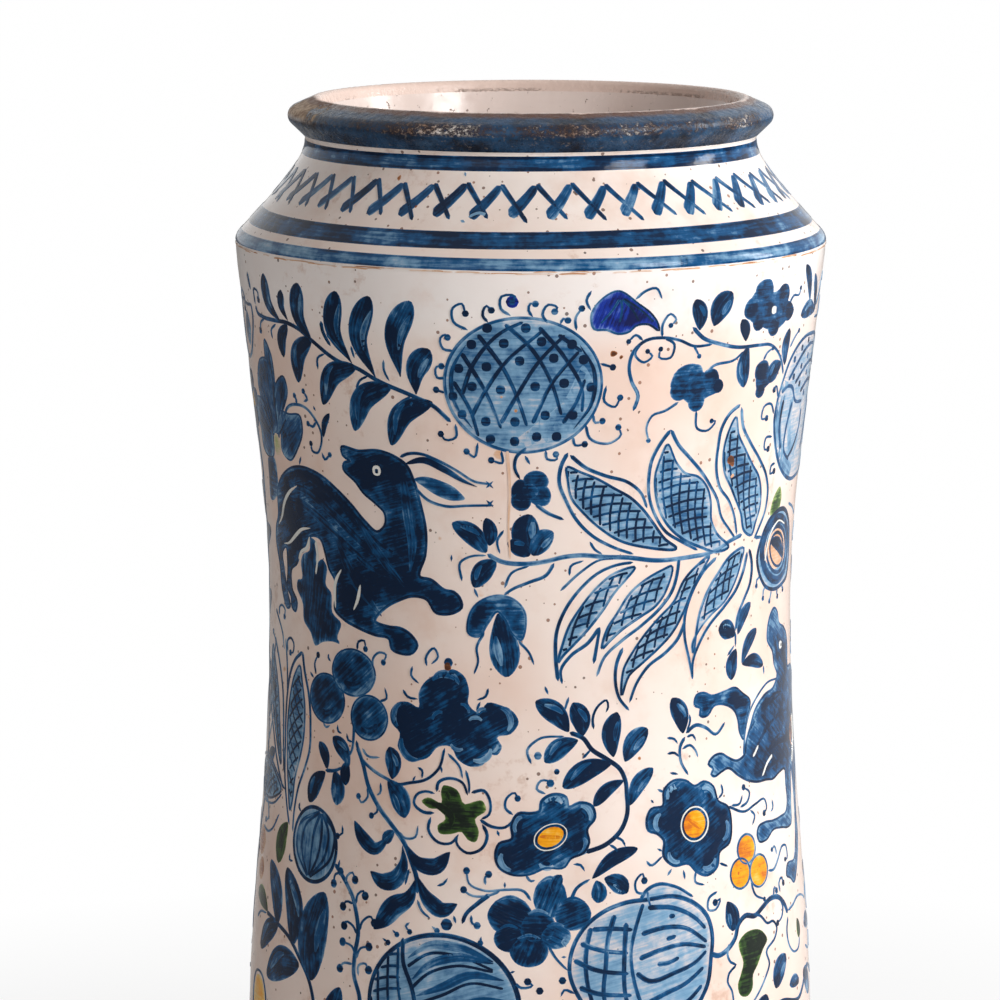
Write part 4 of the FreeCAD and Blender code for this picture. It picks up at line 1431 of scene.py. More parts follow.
def lobed_flower(film):
    outline = [
        (-30.7, 150.9), (-29.3, 153.7), (-25, 156.6), (-20.7, 158), (-17.9, 156.6), (-16.2, 152.3),
        (-16.5, 149.2), (-13.6, 147), (-11.4, 149.6), (-7.9, 149.1), (-4.3, 147.3), (-2.9, 144.8),
        (-5, 141.4), (-8.6, 140.4), (-7.3, 138.4), (-8.6, 135.9), (-11.4, 136), (-12, 133.6), (-15.7, 132.6),
        (-19.3, 134.4), (-21.5, 137.6), (-24.4, 137.4), (-27.9, 134.1), (-32.9, 133.4), (-36.8, 136.6),
        (-36.2, 140), (-38.8, 142.3), (-39.3, 145.1), (-37.1, 148), (-33.6, 148.5), (-30.6, 147.4),
    ]
    film.pot = "fill"
    fill(film, outline, 0.97, rim=0.8, grain=1.6, turn=0.5)
    for u, z, out, radius, load in (
        (-23, 151.5, 1.5, 5, 0.72), (-34, 144.5, 3.0, 4, 0.72), (-31, 138, 3.9, 4.6, 0.72),
        (-14, 138, 5.3, 3.8, 0.6), (-9, 144.6, 0.3, 4, 0.6), (-14.5, 143, 1.6, 2.6, 0.6),
        (-19, 139.5, 4.4, 2.6, 0.62), (-10.5, 138.6, 5.6, 2, 0.6), (-7, 146.3, 0.9, 2, 0.62),
        (-18.6, 146.6, 0.8, 2.4, 0.64), (-12.4, 146, 2.0, 2, 0.6), (-24, 144, 2.2, 2.6, 0.75),
    ):
        edge = arc(u, z, radius, radius, [out + a for a in (-1.1, -0.4, 0.4, 1.1)])
        stroke(film, edge, 0.5 * radius, 0.5, load=load - 0.14)
    film.pot = "line"
    dot(film, -22.1, 159.5, 1.3, 0.95)
    curls(film, [
        [(-32.5, 158), (-32.9, 155.5), (-30.4, 153.4)], [(-35.4, 151.6), (-33.9, 149.8), (-30.7, 149.4)],
        [(-28.2, 158), (-28.6, 160.1), (-26.1, 163), (-25, 160.9), (-27.1, 158.7)],
        [(-11.1, 153.4), (-11.8, 151.2), (-14.3, 150.1)], [(-13.2, 149.8), (-14.4, 147.3)],
        [(-22.1, 135.9), (-18.6, 132.3), (-17.9, 129.4)], [(-17.1, 131.9), (-16.1, 128), (-16.1, 125.5)],
    ], 0)


paint_twice(lobed_flower)

# Green flower. Copper green, nearly black where it lies thick, inside a loose blue outline of lobes.


def green_flower(film):
    shape = [
        (-23.2, 127.6), (-22.1, 127.6), (-19.3, 126.6), (-17.1, 123), (-15, 123.7), (-12.5, 124.1),
        (-11.4, 121.6), (-14.3, 119.1), (-13.2, 115.9), (-14.3, 113), (-16.4, 113.7), (-17.9, 115.5),
        (-20.7, 114.8), (-24.3, 115.1), (-24.6, 116.9), (-22.5, 118.7), (-23.2, 120.9), (-27.1, 121.2),
        (-29.3, 123), (-27.5, 124.1), (-23.6, 123), (-23.9, 125.9),
    ]
    film.pot = "green"
    fill(film, shape, 0.92, rim=0.9, grain=1.2)
    stroke(film, [(-27, 122.6), (-23, 121.5), (-20.5, 119), (-21.5, 116)], 2.6, 0.5, load=1.0)
    stroke(film, [(-22.6, 126.6), (-21, 123)], 1.8, 0.5, load=1.0)
    film.pot = "line"
    for lobe in (
        [(-25, 125.5), (-24.6, 128), (-21.4, 129.4), (-17.9, 128.4), (-16.4, 125.1)],
        [(-15.7, 125.9), (-12.1, 126.6), (-10.4, 123.7), (-10.7, 120.5), (-12.9, 119.1)],
        [(-12.5, 118), (-11.1, 115.1), (-12.5, 111.6), (-16.4, 110.3), (-19.3, 113), (-19, 115)],
        [(-26.4, 119.1), (-27.1, 115.9), (-24.3, 112.6), (-20.7, 112.6), (-18.6, 115.1)],
        [(-25.4, 120.1), (-28.6, 120.1), (-31.4, 122.3), (-30.7, 124.4), (-28.2, 125.5), (-25.4, 125.1)],
        [(-13.2, 119.1), (-10, 117.4), (-6.4, 117.3), (-3.9, 119.4)], [(-8.6, 116.6), (-7.9, 114.8)],
    ):
        stem(film, lobe, 1.0, 0.8)
    curls(film, [[(-4.3, 120.5), (-6.4, 122.3), (-6.1, 124.8), (-3.9, 126.2), (-3.2, 124.8)]])


paint_twice(green_flower)

# Flowers with yellow eyes. Broad dark petals, paler at their rims, round an antimony-yellow middle with
# an orange stroke, and three yellow berries.


def leaning(spots, middle, lean):
    """Spots about a middle, turned by a lean."""
    across, up = math.cos(lean), math.sin(lean)
    return [(middle[0] + u * across - z * up, middle[1] + z * across + u * up) for u, z in spots]


def yellow_eyed(film, outline, petals, middle, wide, tall, lean):
    """One dark flower round its yellow middle."""
    film.pot = "fill"
    fill(film, outline, 0.92, grain=1.7, turn=0.5)
    for u, z, radius in petals:
        out = math.atan2(z - middle[1], u - middle[0])
        for grow, load in ((0.98, 0.42), (0.5, 1.1)):
            edge = arc(u, z, radius * grow, radius * grow, [out + a for a in (-1.2, -0.4, 0.4, 1.2)])
            stroke(film, edge, 0.62 * radius, 0.5, load=load)
    film.pot = "line"
    contour(film, outline, 0.8, 0.8)
    film.pot = "white"
    halo = leaning(oval(0, 0, 1.13 * wide, 1.13 * tall, 10), middle, lean)
    contour(film, halo, 0.3 if wide > tall else 0.4, 0.35)
    ring = leaning(oval(0, 0, wide, tall, 10), middle, lean)
    film.pot = "yellow"
    fill(film, ring, 0.7, rim=0.4, grain=1.2)
    stroke(film, [ring[4], middle, ring[9]], 1.6, 0.5, load=1.0)


def yellow_flowers(film):
    yellow_eyed(film, [
        (-8.9, 109.5), (-8, 113), (-4.6, 114.4), (-4.8, 118), (-3, 120.9), (0.5, 121), (2.5, 121.5),
        (3, 124), (6, 125.8), (9.5, 125), (10.2, 122.5), (13, 123.5), (16.5, 122.4), (17.2, 119.5),
        (15, 116.5), (15.5, 113), (14, 110.5), (10.5, 109), (9, 107), (4, 106.8), (0, 105.2), (-5, 105.2),
        (-8, 107),
    ], [
        (6.1, 122, 3), (13.2, 119.8, 3), (11.8, 112.7, 3), (4.5, 109, 2.4), (-4.5, 109.2, 3.2),
        (-1.4, 117.5, 2.8),
    ], (5.4, 114.8), 4.0, 2.8, math.radians(25))
    yellow_eyed(film, [
        (31.5, 117.5), (33, 120.5), (36.5, 121), (37, 125), (40, 127.2), (44, 126.8), (47, 125), (50, 125.8),
        (53.5, 124), (55, 120), (58.5, 118), (59.6, 113), (58.5, 108.5), (54.5, 106.5), (53.5, 103),
        (50, 101.2), (46.5, 102.5), (44, 105), (39, 105.2), (36.2, 108), (36.5, 112), (34.5, 114), (32, 115),
    ], [
        (41, 122.5, 3.2), (50.5, 121, 3.4), (55, 112.5, 3.4), (50, 106, 3.2), (40.5, 108.5, 2.8),
        (37, 116.5, 3),
    ], (46.4, 115.1), 4.0, 4.0, 0)
    film.pot = "line"
    curls(film, [
        [(38.9, 129.4), (41.8, 128.7)], [(35, 125.5), (37.1, 124.4)], [(32.9, 123), (33.9, 121.9)],
        [(56.4, 124.4), (56.8, 121.9), (55, 120.5)], [(34.3, 110.1), (36.1, 109.1)],
        [(31.1, 107.3), (32.1, 106), (36.1, 108)], [(37.1, 102.6), (38.6, 104.4)],
        [(42.1, 103.7), (42.5, 100.9)], [(46.1, 103), (45.7, 100.1), (48.9, 98.7)],
        [(54.3, 103.7), (57.5, 102.3)],
    ], 0)
    for u, z, radius in ((65.4, 105.6, 3.9), (62.2, 99.6, 4.0), (70.4, 98.9, 4.3)):
        ring = oval(u, z, radius, radius, 8)
        film.pot = "yellow"
        fill(film, ring, 0.72, rim=0.4, grain=1.3)
        stroke(film, [(u - 1.5, z - 1), (u, z + 1.2), (u + 1.5, z + 0.5)], 1.2, 0.5, load=1.0)
        film.pot = "line"
        contour(film, ring, 0.7, 0.62)
    curls(film, [
        [(75, 98), (77.9, 97.6), (81.4, 100.1), (84.3, 102.6), (87.1, 102.3), (87.5, 98.7), (86.1, 98.7)],
        [(80.7, 100.9), (79.3, 103.7), (77.9, 103)], [(66.4, 96.6), (67.9, 93), (72.1, 90.9)],
    ], 0.7)


paint_twice(yellow_flowers)

# Lower field. Melons with ribs and lattice, a five-petalled flower, berried sprigs and long leaves, which
# fill the wall down to the heel. Long leaves and stems run out between them to the heel band.


def lower_left(film):
    stroke(film, [
        (-62.1, 50), (-61, 58), (-62.1, 67.1), (-63.6, 70.4), (-67.9, 75.4), (-73.6, 80), (-80, 82.1),
        (-89.3, 83.6),
    ], 1.3)
    leaves(film, [
        (-62.9, 70.7, -59.3, 95, 11), (-71.4, 78.6, -77.5, 98.2, 8), (-80.7, 82.1, -88.9, 97.9, 7),
        (-80.4, 81.8, -92.9, 72.9, 6), (-68.2, 73.9, -86.3, 67, 8.5), (-62, 60, -74, 52, 7),
        (-61.4, 56, -52, 49, 6), (-52.1, 71.1, -54, 56, 6),
    ], fullest=0.5)
    stroke(film, [(-56.1, 103.2), (-52.1, 99.3), (-49.3, 95.7), (-47.9, 92.1), (-46.8, 86.4), (-47.5, 80.7),
                  (-47.5, 75), (-45.7, 70), (-45, 62)], 1.4, load=0.75)
    curls(film, [
        [(-51.8, 98.2), (-51.4, 100.7), (-49.6, 101.8), (-48.7, 100)],
        [(-47.9, 93.6), (-47.5, 96.4), (-45.7, 97.5), (-45.1, 96.3)],
        [(-46.4, 86.8), (-45.7, 89.3), (-42.9, 91.1), (-41.8, 89.6)],
        [(-47.1, 79.3), (-45.7, 82.5), (-43.2, 83.2)],
        [(-46.1, 75), (-46.1, 77.9), (-43.9, 78.6), (-43, 77.1)],
        [(-53.9, 101.1), (-55.7, 100.4), (-56.1, 97.9)], [(-48.6, 93.6), (-51.4, 93.9), (-52.3, 92.5)],
        [(-47.1, 85.7), (-48.6, 87.9), (-51.1, 88.6), (-51.6, 87.5)],
        [(-47.1, 80), (-48.6, 82.5), (-51.8, 83.2)], [(-47.9, 77.9), (-51.4, 77.5), (-52.3, 76.1)],
        [(-54.3, 104.6), (-54.6, 102.5), (-53.9, 101.4)],
    ], 1.2)
    curls(film, [
        [(-99.6, 105), (-93.6, 104.6), (-89.3, 106.4), (-85, 111.1)],
        [(-98.6, 80), (-95.7, 82.1), (-89.3, 83.2)], [(-69.6, 91.4), (-70.7, 89.3), (-70.7, 87.1)],
        [(-72.9, 116.6), (-73.2, 115.1), (-71.8, 114.1)], [(-76.4, 102.3), (-76.4, 100.5), (-74.3, 100.5)],
    ], 0)
    film.pot = "green"
    leaves(film, [(-78.9, 110, -83.4, 98.1, 6.2), (-88.6, 83.9, -100.7, 86.8, 5)], load=0.85)
    film.pot = "brown"
    for u, z, radius in ((-100.7, 100.7, 4.6), (-98.6, 93.4, 3.4)):
        dot(film, u, z, radius, 0.6)
    film.pot = "yellow"
    fill(film, [(-98, 59), (-95, 65), (-90, 65), (-87, 59), (-90, 53), (-96, 53)], 0.5)
    film.pot = "line"
    contour(film, [(-99, 59), (-95.5, 66), (-89.5, 66), (-86, 59), (-89.5, 52), (-96, 52)], 0.8)
    melon = oval(-65.2, 106.7, 9.4, 9.8, 14)
    film.pot = "fill"
    fill(film, melon, 0.46, rim=2.0, turn=1.5)
    film.pot = "line"
    contour(film, melon, 1.2, 0.85)
    for bow in (-7.6, -5, -0.5, 2.6, 5.4, 7.8):
        stem(film, [(-62.5, 116), (-64.5 + bow, 110.5), (-65.2 + bow, 105), (-66.5, 97.4)], 1.3, 0.78)
    curls(film, [[(-54.3, 113.7), (-53.9, 111.6), (-55.7, 110.5)]])


paint_twice(lower_left)


def tall_leaves(film):
    hatched_leaf(film, [
        (-75.6, 152.6), (-78.9, 149.4), (-81.4, 143.7), (-82.3, 136.6), (-81.8, 128), (-80.4, 120.9),
        (-78, 113.7), (-77.5, 115.1), (-76.4, 122.3), (-74.3, 128), (-72.5, 134.4), (-72.5, 141.6),
        (-74.3, 148.7),
    ], [
        [(-74.3, 156.6), (-73.2, 152.3), (-70.7, 145.9), (-69.3, 138), (-69.3, 131.6), (-71.4, 125.9),
        (-74.3, 120.1), (-75.7, 114.4), (-75.7, 108)],
        [(-74.3, 156.6), (-78.6, 153.7), (-81.8, 149.4), (-83.6, 143.7), (-83.9, 137.3), (-83.6, 129.4),
        (-82.9, 122.3), (-80.7, 115.1), (-77.9, 109.4)],
    ], 40, 130, 2.8, 0.44)
    hatched_leaf(film, [
        (-98.6, 154.4), (-93.5, 148), (-90, 140), (-88, 132), (-86.4, 124.4), (-91, 130), (-96, 138),
        (-100, 146),
    ], [
        [(-95.7, 157.3), (-90.7, 151.6), (-87.5, 145.1), (-85.7, 137.3), (-85, 129.4), (-83.6, 122.3)],
        [(-104, 150), (-100.7, 140.9), (-95.7, 133), (-90.7, 125.9), (-83.6, 118)],
    ], 30, 110, 2.6, 0.5)
    hatched_leaf(film, [(-85, 117.4), (-91, 121.4), (-98, 123), (-106, 122.2), (-110, 119), (-105, 114.6),
                        (-97, 113.2), (-90, 114.8)], [], 30, 110, 2.2, 0.5)
    curls(film, [
        [(-112, 122), (-105, 123.7), (-97.9, 124.4), (-90.7, 122.3), (-82.1, 118)],
        [(-112, 116), (-105, 112.6), (-96.4, 111.9), (-89.3, 113.4), (-84.3, 116.6)],
        [(-94.3, 165.1), (-90.7, 162.3), (-87.9, 159.4), (-86.4, 155.1)],
        [(-85.4, 158.7), (-83.9, 151.6), (-83.6, 143.7)],
    ], 0)
    curls(film, [
        [(-90.7, 163.7), (-90.4, 165.9), (-87.9, 166.9), (-85.4, 165.9), (-86.1, 164.1)],
        [(-83.6, 154.8), (-83.9, 158), (-81.4, 159.1), (-79.6, 158), (-80, 155.5), (-81.8, 155.1)],
    ])


paint_twice(tall_leaves)


def five_petals(film):
    film.pot = "fill"
    for u, z, wide, tall in (
        (-5, 94.3, 5.3, 4.5), (5.2, 99, 4, 4.8), (11, 94.6, 4.4, 3.8), (-5.2, 88.4, 3.6, 3.2),
        (-0.2, 85.2, 4.5, 3.8), (2.1, 91.4, 4.2, 4), (6.5, 89, 3.6, 3),
    ):
        ring = oval(u, z, 1.12 * wide, 1.12 * tall, 8)
        fill(film, ring, 0.97, rim=0.8, grain=1.6, turn=math.atan2(z - 91.4, u - 2.1))
        stroke(film, ring[1:4], 1.0, 0.5, load=0.6)
    film.pot = "line"
    leaves(film, [
        (6, 100, 8.2, 105, 3), (16.1, 103.6, 28.9, 110.7, 3.6), (17.2, 103.2, 17.5, 97.1, 4),
        (19.3, 103.6, 25.7, 99.3, 4.6), (56.4, 93.2, 57.9, 85, 5),
    ])
    curls(film, [
        [(0.4, 98.2), (-1.4, 100.7), (-6.4, 101.1), (-11.4, 100.7), (-15.7, 102.5), (-16.4, 105.7)],
        [(-11.4, 102.1), (-11.4, 104.3), (-10.6, 105)],
        [(-7.5, 100.7), (-11.4, 99.3), (-15.7, 99.6), (-17.1, 100.7)],
        [(-15, 94.3), (-14.6, 92.1), (-13.4, 91.6)], [(-3.9, 77.1), (-2.1, 75.7), (0.7, 76.4), (-0.5, 77.3)],
        [(53.2, 96.4), (50, 95), (49.6, 92.1), (52.1, 91.8), (53.9, 94.3), (52.1, 93.6)],
        [(30.7, 98.6), (28.2, 99.3), (27.9, 102.1), (30, 103.9), (30.4, 102.1)],
    ], 1.0)
    stem(film, [(-10, 100), (-13.6, 97.1), (-16.4, 94.3), (-17.3, 91.8)], 1.4, 0.8)
    stem(film, [(10.4, 97.9), (12.1, 101.4), (15.7, 103.6)], 1.1)
    curls(film, [
        [(-19.6, 93.9), (-18.9, 91.8)], [(-6.4, 103.2), (-6.4, 101.4)],
        [(4.6, 86.8), (6.4, 83.6), (9.6, 80)], [(9.3, 88.6), (8.2, 87.5), (9.3, 86.1)],
        [(9.3, 83.6), (7.9, 83.6)], [(11.4, 73.9), (8.6, 75), (7.7, 73.2)], [(-5, 79.6), (-3.6, 80)],
    ], 0)
    dot(film, -21.4, 91.4, 1.6)
    dot(film, 8.2, 77.5)
    dot(film, 2.5, 74.9)


paint_twice(five_petals)


def left_melon(film):
    outline = oval(-22.5, 69.5, 20, 19, 18)
    film.pot = "wash"
    fill(film, outline, 0.34, rim=2.0, turn=0.3)
    film.pot = "fill"
    for line in (
        [(-32.1, 81.4), (-25.7, 85.7), (-18.6, 85.7), (-8.6, 82.1)],
        [(-30.6, 76), (-25.7, 80.6), (-18.6, 83), (-8.6, 81.8)],
        [(-29.6, 71.9), (-22.1, 75.1), (-15, 78.6), (-6, 77.5)],
        [(-28.6, 66), (-20, 69.1), (-12, 72), (-4, 72)], [(-28.6, 61), (-20, 62), (-12, 64), (-5, 66)],
    ):
        stroke(film, line, 2.8, 0.5, load=0.62)
        stem(film, [(u, z - 2.2) for u, z in line], 1.1, 0.95)
    film.pot = "line"
    contour(film, outline, 1.3, 0.9)
    stroke(film, [
        (-33.2, 87), (-32.9, 80.7), (-30.4, 74.3), (-29, 66), (-29.5, 58), (-31.5, 53),
    ], 1.3, load=0.85)
    lattice = [
        (-33.6, 86), (-33.4, 78), (-31.6, 70), (-31, 60), (-33.4, 53.6), (-38.5, 58), (-42, 66), (-42, 74),
        (-38.5, 82),
    ]
    hatch(film, lattice, 12, 3.2, 0.9, 0.8)
    hatch(film, lattice, 98, 3.2, 0.9, 0.8)
    curls(film, [
        [(-39.3, 86.1), (-37.5, 85.1)], [(-36.4, 88.6), (-35, 87.5)],
        [(-31.4, 91.1), (-32.5, 90), (-31.4, 88.6)], [(-25.4, 90.7), (-23.9, 89.6)],
        [(-12.3, 88.9), (-12.5, 87.1)], [(-3, 63), (0, 60), (3, 61)], [(-14, 52), (-11, 49.5), (-8, 50.5)],
        [(-38, 56), (-41, 53), (-40, 50)],
    ], 0.8)


def right_melon(film):
    outline = [
        (10, 80), (11.1, 86.4), (14.3, 91.4), (19.3, 95), (25, 96.8), (31, 97.1), (39.3, 97), (45, 94.5),
        (48.9, 90.7), (50.4, 85), (49.6, 79.3), (48.2, 72.9), (43, 66), (36, 62), (28, 61.5), (19, 65),
        (12.9, 72),
    ]
    film.pot = "wash"
    fill(film, outline, 0.28, rim=2.0, turn=0.2)
    fill(film, [(29, 96.6), (31.1, 99.6), (33.9, 100.7), (39.3, 99.6), (45, 95.6), (37, 96)], 0.34)
    film.pot = "line"
    contour(film, outline, 1.3, 0.88)
    stroke(film, [(30, 96.5), (27.5, 90), (26.1, 84.3), (26.4, 77.9), (28.6, 70), (33, 62.5)], 1.2)
    stem(film, [(29, 97), (31.1, 99.6), (33.9, 100.7), (39.3, 99.6), (45, 96.1)], 1.2, 0.8)
    stem(film, [(31.1, 99.6), (31.4, 97.1), (32.1, 94.6)], 0.9)
    for line in (
        [(15.7, 91.4), (14.3, 85), (14.3, 77.9), (16, 70)],
        [(22.1, 94.3), (20, 87.9), (19.3, 80.7), (18.6, 74.3), (20, 66)],
        [(25, 92), (24.3, 83.6), (24.3, 73), (27, 64)], [(15.4, 90.4), (20.7, 90.4), (27.1, 89.6)],
        [(12.5, 87.1), (17.9, 85), (25.7, 83.6)], [(10.7, 82.9), (16.4, 80), (25.7, 78.2)],
        [(12.1, 75.7), (16.4, 73.9), (26.4, 72.5)], [(16, 69), (22, 67.6), (29, 67)],
        [(30.7, 95), (37.9, 94.3), (45, 90.7), (48.6, 87.1)],
        [(28.6, 88.2), (35, 89.3), (41.4, 88.6), (48.9, 83.6)],
        [(27.9, 81.8), (34.3, 83.6), (40.7, 84.3), (48.6, 82.5)],
        [(27.1, 78.5), (30.7, 75.9), (37.9, 77.1), (45, 79.3), (48.6, 81.8)],
        [(30, 70), (35, 71.9), (41.4, 74), (47.4, 77.6)], [(33, 64), (38, 67), (43, 70), (46.6, 73)],
        [(35.7, 86.1), (39.3, 86.8)], [(32.9, 80), (36.4, 80), (40, 81.1)], [(36.8, 92.1), (39.3, 92)],
    ):
        stem(film, line, 1.6, 0.8)
    stroke(film, [
        (49.3, 80.7), (52.1, 79.6), (55.7, 80.7), (58.6, 83.2), (60, 86.4), (62.9, 88.2), (67.1, 87.5),
        (70.7, 88.9), (75, 90.4), (79.3, 90), (82.9, 87.5), (85, 84.3),
    ], 1.5)
    green = [
        (59.6, 81.4), (61.4, 83.2), (65.7, 84.1), (70, 82.9), (72.3, 80), (70, 77.9), (67.1, 74.3),
        (65, 72.1), (64.6, 68.6), (62.5, 66.8), (59.6, 67.5), (58.7, 70.7), (60, 73.2), (61.1, 76.1),
        (60, 79.3),
    ]
    film.pot = "green"
    fill(film, green, 0.95, rim=0.8, grain=1.4)
    leaves(film, [(92.1, 81.4, 93, 75.7, 3.2)], load=0.8)
    film.pot = "line"
    curls(film, [
        [(56.1, 82.1), (55.4, 79.3), (56.4, 77.1), (58.2, 76.1), (55.7, 74.3), (55, 72.1), (56.4, 69.6),
        (57, 66)],
        [(65.7, 87.9), (69.3, 87.1), (72.9, 84.3), (75.7, 84.3), (77.5, 82.1), (76.4, 80), (71.4, 76.8),
        (72.5, 73.6), (70.7, 70.7), (65.7, 65.7), (60, 62)],
        [(85, 83.6), (83.6, 80), (84.6, 75.7), (87.9, 73.2), (92.1, 73.6), (93.6, 76.4)],
        [(85, 85), (89.3, 85.7), (92.9, 86.8), (99.3, 86.1), (105, 83.6)],
    ], 0)
    curls(film, [
        [(79.3, 90.7), (81.8, 86.4), (80.7, 84.3), (78.2, 83.2)], [(76.8, 90.4), (77.9, 92.9), (78.9, 91.8)],
        [(81.1, 90.7), (80.7, 93.6), (82.5, 94.6), (83.6, 92.9)],
        [(105, 84), (110, 87), (114, 84), (112, 80)], [(52, 66), (55, 61), (53, 56)],
        [(100, 72), (106, 70), (112, 73), (114, 69)],
    ])
    leaves(film, [
        (75.4, 66, 82, 74, 6), (83.6, 65, 91.4, 64.3, 3.5), (70.7, 65.7, 67, 52, 8), (76, 62, 82, 50, 8),
        (58, 58, 50, 50, 5), (96, 66, 103, 58, 6), (100, 78, 110, 76, 4.5), (92, 58, 98, 49, 5),
    ], fullest=0.5)
    stroke(film, [(60, 62), (68, 60), (78, 62), (90, 60), (102, 66), (112, 62), (120, 64)], 1.2, load=0.75)
    stem(film, [(36, 61.5), (34, 56), (38, 51), (46, 48)], 1.2)
    leaves(film, [(34.6, 57, 24, 51, 5), (38, 51, 30, 47.5, 3.5), (10, 56, 20, 60, 4), (8, 54, 16, 48, 4.5)])
    stem(film, [(-2, 56), (4, 55), (10, 56), (16, 54)], 1.1)


paint_twice(left_melon)
paint_twice(right_melon)

heel_bands = Film()
band(heel_bands, 43.2, 2.8, 0.5, 0.15, start=60)
band(heel_bands, 36.5, 4.0, 0.66, 0.2, start=-60)
band(heel_bands, 17.5, 2.6, 0.6, 0.2, start=10)
heel_bands.finish("heel_bands")

# Side sprig. It climbs the two sides where the front and the back of the painting meet: one stem with
# leaves and curls in single strokes, and a round flower at its top.


def side_sprig(film):
    stroke(film, [
        (121, 74), (117, 86), (120, 98), (126, 110), (128, 124), (124, 140), (119, 152), (118, 166),
        (122, 180), (125, 190),
    ], 1.3)
    leaves(film, [
        (118, 84, 108, 92, 6), (117.6, 90, 124, 99, 4.6), (121, 100, 112, 106, 5), (128, 118, 137, 127, 5),
        (126, 134, 135, 145, 5.4), (120, 150, 110, 158, 6), (118.6, 160, 128, 168, 5.6),
        (118, 168, 108, 176, 6), (122, 180, 132, 186, 5), (124, 188, 117, 197, 5.4),
        (125, 190, 127, 200, 4.6),
    ], fullest=0.5)
    curls(film, [
        [(118, 156), (113, 150), (109, 151), (110, 154)], [(124, 142), (131, 150), (134, 156), (131, 158)],
        [(120, 174), (114, 184), (109, 186), (108, 182)], [(127, 112), (133, 112), (135, 108), (132, 107)],
        [(126, 126), (131, 132), (134, 136)], [(122, 246), (126, 250), (130, 248), (129, 245)],
        [(116, 246), (120, 243), (122, 238), (119, 236)],
    ])
    for u, z, radius in ((121, 222, 3), (126, 225.5, 3.2), (130.5, 221, 3), (128, 216, 3), (122, 216.5, 3)):
        dot(film, u, z, radius, 1.0)
    film.pot = "yellow"
    dot(film, 125.6, 220.2, 2.4, 0.6)
    film.pot = "line"
    stem(film, [(125, 190), (128, 200), (127, 208), (125.6, 215)], 1.1)


paint_twice(side_sprig)

# Wear on the coat. The shoulder's edge is rubbed to the clay in a broken line, rust has run down from a
# pinhole, and a few chips show brown.


def wear(film):
    film.pot = "chip"
    for step in range(46):
        u = -115 + 5 * step + brush_luck.uniform(-2, 2)
        long = brush_luck.uniform(2, 12)
        z = 261.4 + brush_luck.uniform(-0.3, 0.3)
        stroke(film, [(u, z), (u + long / 2, z + 0.15), (u + long, z)], brush_luck.uniform(0.2, 0.45),
               load=brush_luck.uniform(0.15, 0.5))
    stroke(film, [(-5.8, 216), (-5.2, 205), (-5.6, 196), (-5.2, 187)], 0.9, load=0.22, taper=0.5)
    for u, z, size, load in (
        (-8, 214.5, 1.2, 0.25), (-3.6, 226, 0.7, 0.8), (-7, 229.5, 0.5, 0.9), (-13, 178, 1.0, 0.2),
        (-24, 192, 0.6, 0.3), (57.8, 209.6, 1.9, 0.9), (58.6, 205.5, 0.8, 0.4), (20.3, 240.5, 1.0, 0.95),
        (22.5, 239.4, 0.6, 1.2), (-33, 276.5, 0.6, 0.9), (-42, 283, 0.8, 0.8), (-86, 150, 0.9, 0.3),
        (-26, 130, 0.5, 0.9), (30, 134, 0.5, 0.8), (5, 285, 0.5, 0.9), (-64, 205, 0.6, 0.3),
        (-70, 140, 0.8, 0.3), (-30, 60, 1.0, 0.4), (46, 222, 0.5, 0.9), (-22.3, 158.6, 1.2, 1.2),
    ):
        reach = size * brush_luck.uniform(0.6, 1.3, 6)
        fill(film, oval(u, z, reach, reach, 6), load, rim=0.5, grain=0.8)


paint_twice(wear)

# Blue glaze over the lip. It is one flooded coat, worn to buff clay and scorched specks along the nose and
# at one end, brown at the crest, and clean blue in the hollow under the lip.


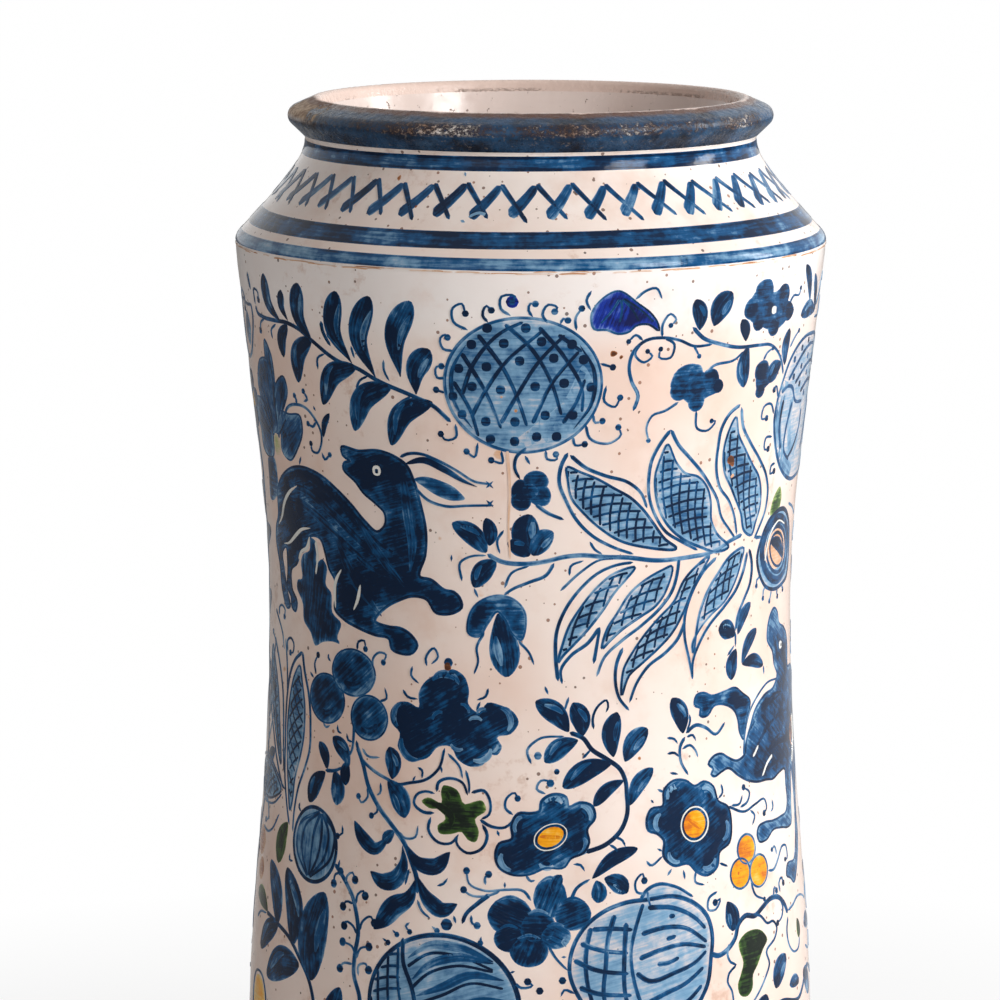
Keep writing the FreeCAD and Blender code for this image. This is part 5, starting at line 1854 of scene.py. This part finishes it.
def worn_rim():
    material, tree = new_material("blue_rim_glaze")
    where = put(tree, "TexCoord").outputs["Object"]
    tall = put(tree, "SeparateXYZ", {0: where}).outputs[2]
    flood = noise(tree, where, 110, 6, 0.65)
    colour = tint(tree, ramp(tree, flood, 0.32, 0.66), paint(6, 18, 34), paint(30, 72, 108))
    haze = noise(tree, where, 55, 4, 0.6)
    colour = tint(tree, ramp(tree, haze, 0.52, 0.72, 0, 0.3), colour, paint(92, 118, 138))
    grit = noise(tree, where, 620, 3, 0.7)
    colour = tint(tree, ramp(tree, grit, 0.58, 0.68, 0, 0.8), colour, paint(20, 20, 26))
    colour = tint(tree, ramp(tree, grit, 0.4, 0.3, 0, 0.55), colour, paint(128, 118, 110))
    nose = sums(tree, "MULTIPLY", ramp(tree, tall, 0.2940, 0.2952), ramp(tree, tall, 0.2982, 0.2966))
    rub = noise(tree, stretched(tree, where, 1, 1, 1.6), 760, 6, 0.85)
    rub = sums(tree, "ADD", rub, ramp(tree, noise(tree, where, 40, 2), 0.35, 0.65, -0.12, 0.06))
    scorched = sums(tree, "MULTIPLY", ramp(tree, rub, 0.42, 0.5), nose)
    colour = tint(tree, sums(tree, "MULTIPLY", scorched, 0.8), colour, paint(62, 42, 34))
    bare = sums(tree, "MULTIPLY", ramp(tree, rub, 0.545, 0.6), nose)
    colour = tint(
        tree, bare, colour,
        tint(tree, ramp(tree, flood, 0.4, 0.6), paint(196, 156, 130), paint(232, 224, 218)),
    )
    crest = sums(tree, "MULTIPLY", ramp(tree, tall, 0.2984, 0.2996), ramp(tree, grit, 0.3, 0.5))
    colour = tint(tree, sums(tree, "MULTIPLY", crest, 0.75), colour, paint(104, 66, 44))
    worn_place = (-0.0625, -0.0155, 0.2975)
    away = put(tree, "VectorMath", {0: where, 1: worn_place}, operation="DISTANCE").outputs["Value"]
    away = sums(tree, "ADD", away, ramp(tree, noise(tree, where, 240, 5, 0.7), 0.3, 0.7, -0.006, 0.006))
    end = sums(tree, "MULTIPLY", ramp(tree, away, 0.0150, 0.0125), ramp(tree, tall, 0.2944, 0.2968))
    buff = tint(tree, ramp(tree, grit, 0.4, 0.6), paint(206, 178, 146), paint(150, 122, 100))
    colour = tint(tree, sums(tree, "MULTIPLY", end, 0.92), colour, buff)
    flat = stretched(tree, where, 1, 1, 0)
    radial = put(tree, "VectorMath", {0: flat}, operation="LENGTH").outputs["Value"]
    radial = sums(tree, "ADD", radial, sums(tree, "MULTIPLY", sums(tree, "SUBTRACT", flood, 0.5), 0.003))
    scorch = sums(tree, "MULTIPLY", ramp(tree, radial, 0.0604, 0.0592), 0.85)
    colour = tint(tree, scorch, colour, paint(92, 60, 46))
    colour = tint(tree, ramp(tree, radial, 0.0582, 0.0574), colour, paint(232, 208, 196))
    dull = sums(tree, "MAXIMUM", bare, end)
    rough = sums(tree, "ADD", ramp(tree, grit, 0.3, 0.7, 0.14, 0.42), sums(tree, "MULTIPLY", dull, 0.3))
    height = sums(tree, "ADD", sums(tree, "MULTIPLY", flood, 1.2), sums(tree, "MULTIPLY", grit, 0.5))
    height = sums(tree, "SUBTRACT", height, sums(tree, "MULTIPLY", dull, 0.8))
    surface(tree, colour, rough, raised(tree, height, 0.0004), Specular_IOR_Level=0.22)
    return material


nodes["rim_glaze"].data.materials.clear()
nodes["rim_glaze"].data.materials.append(worn_rim())

# Inner glaze. A thinner, pinker coat poured round inside and fired on the wall and floor: it ran down in
# long streaks, stands paler in a band under the rim and is peppered with brown pinholes.


def poured_glaze():
    material, tree = new_material("inner_glaze")
    where = put(tree, "TexCoord").outputs["Object"]
    tall = put(tree, "SeparateXYZ", {0: where}).outputs[2]
    cloud = noise(tree, where, 34, 4)
    colour = tint(tree, ramp(tree, cloud, 0.3, 0.7), paint(230, 209, 200), paint(208, 180, 168))
    runs = noise(tree, stretched(tree, where, 70, 70, 6), 1.0)
    colour = tint(tree, ramp(tree, runs, 0.46, 0.72, 0, 0.5), colour, paint(190, 154, 140))
    edge = sums(tree, "ADD", tall, ramp(tree, cloud, 0.3, 0.7, -0.003, 0.003))
    colour = tint(tree, ramp(tree, edge, 0.2865, 0.2905, 0, 0.6), colour, paint(242, 229, 222))
    grit = noise(tree, where, 480, 3, 0.7)
    colour = tint(tree, ramp(tree, grit, 0.66, 0.72, 0, 0.8), colour, paint(104, 68, 52))
    colour = tint(tree, ramp(tree, tall, 0.05, 0.016, 0, 0.45), colour, paint(168, 138, 118))
    rough = ramp(tree, noise(tree, where, 260), 0.3, 0.7, 0.1, 0.3)
    rings = noise(tree, stretched(tree, where, 5, 5, 150), 1.0, 2)
    height = sums(tree, "SUBTRACT", rings, ramp(tree, grit, 0.66, 0.72, 0, 0.5))
    surface(tree, colour, rough, raised(tree, height, 0.0004), Specular_IOR_Level=0.4)
    return material


nodes["inner_glaze"].data.materials.clear()
nodes["inner_glaze"].data.materials.append(poured_glaze())
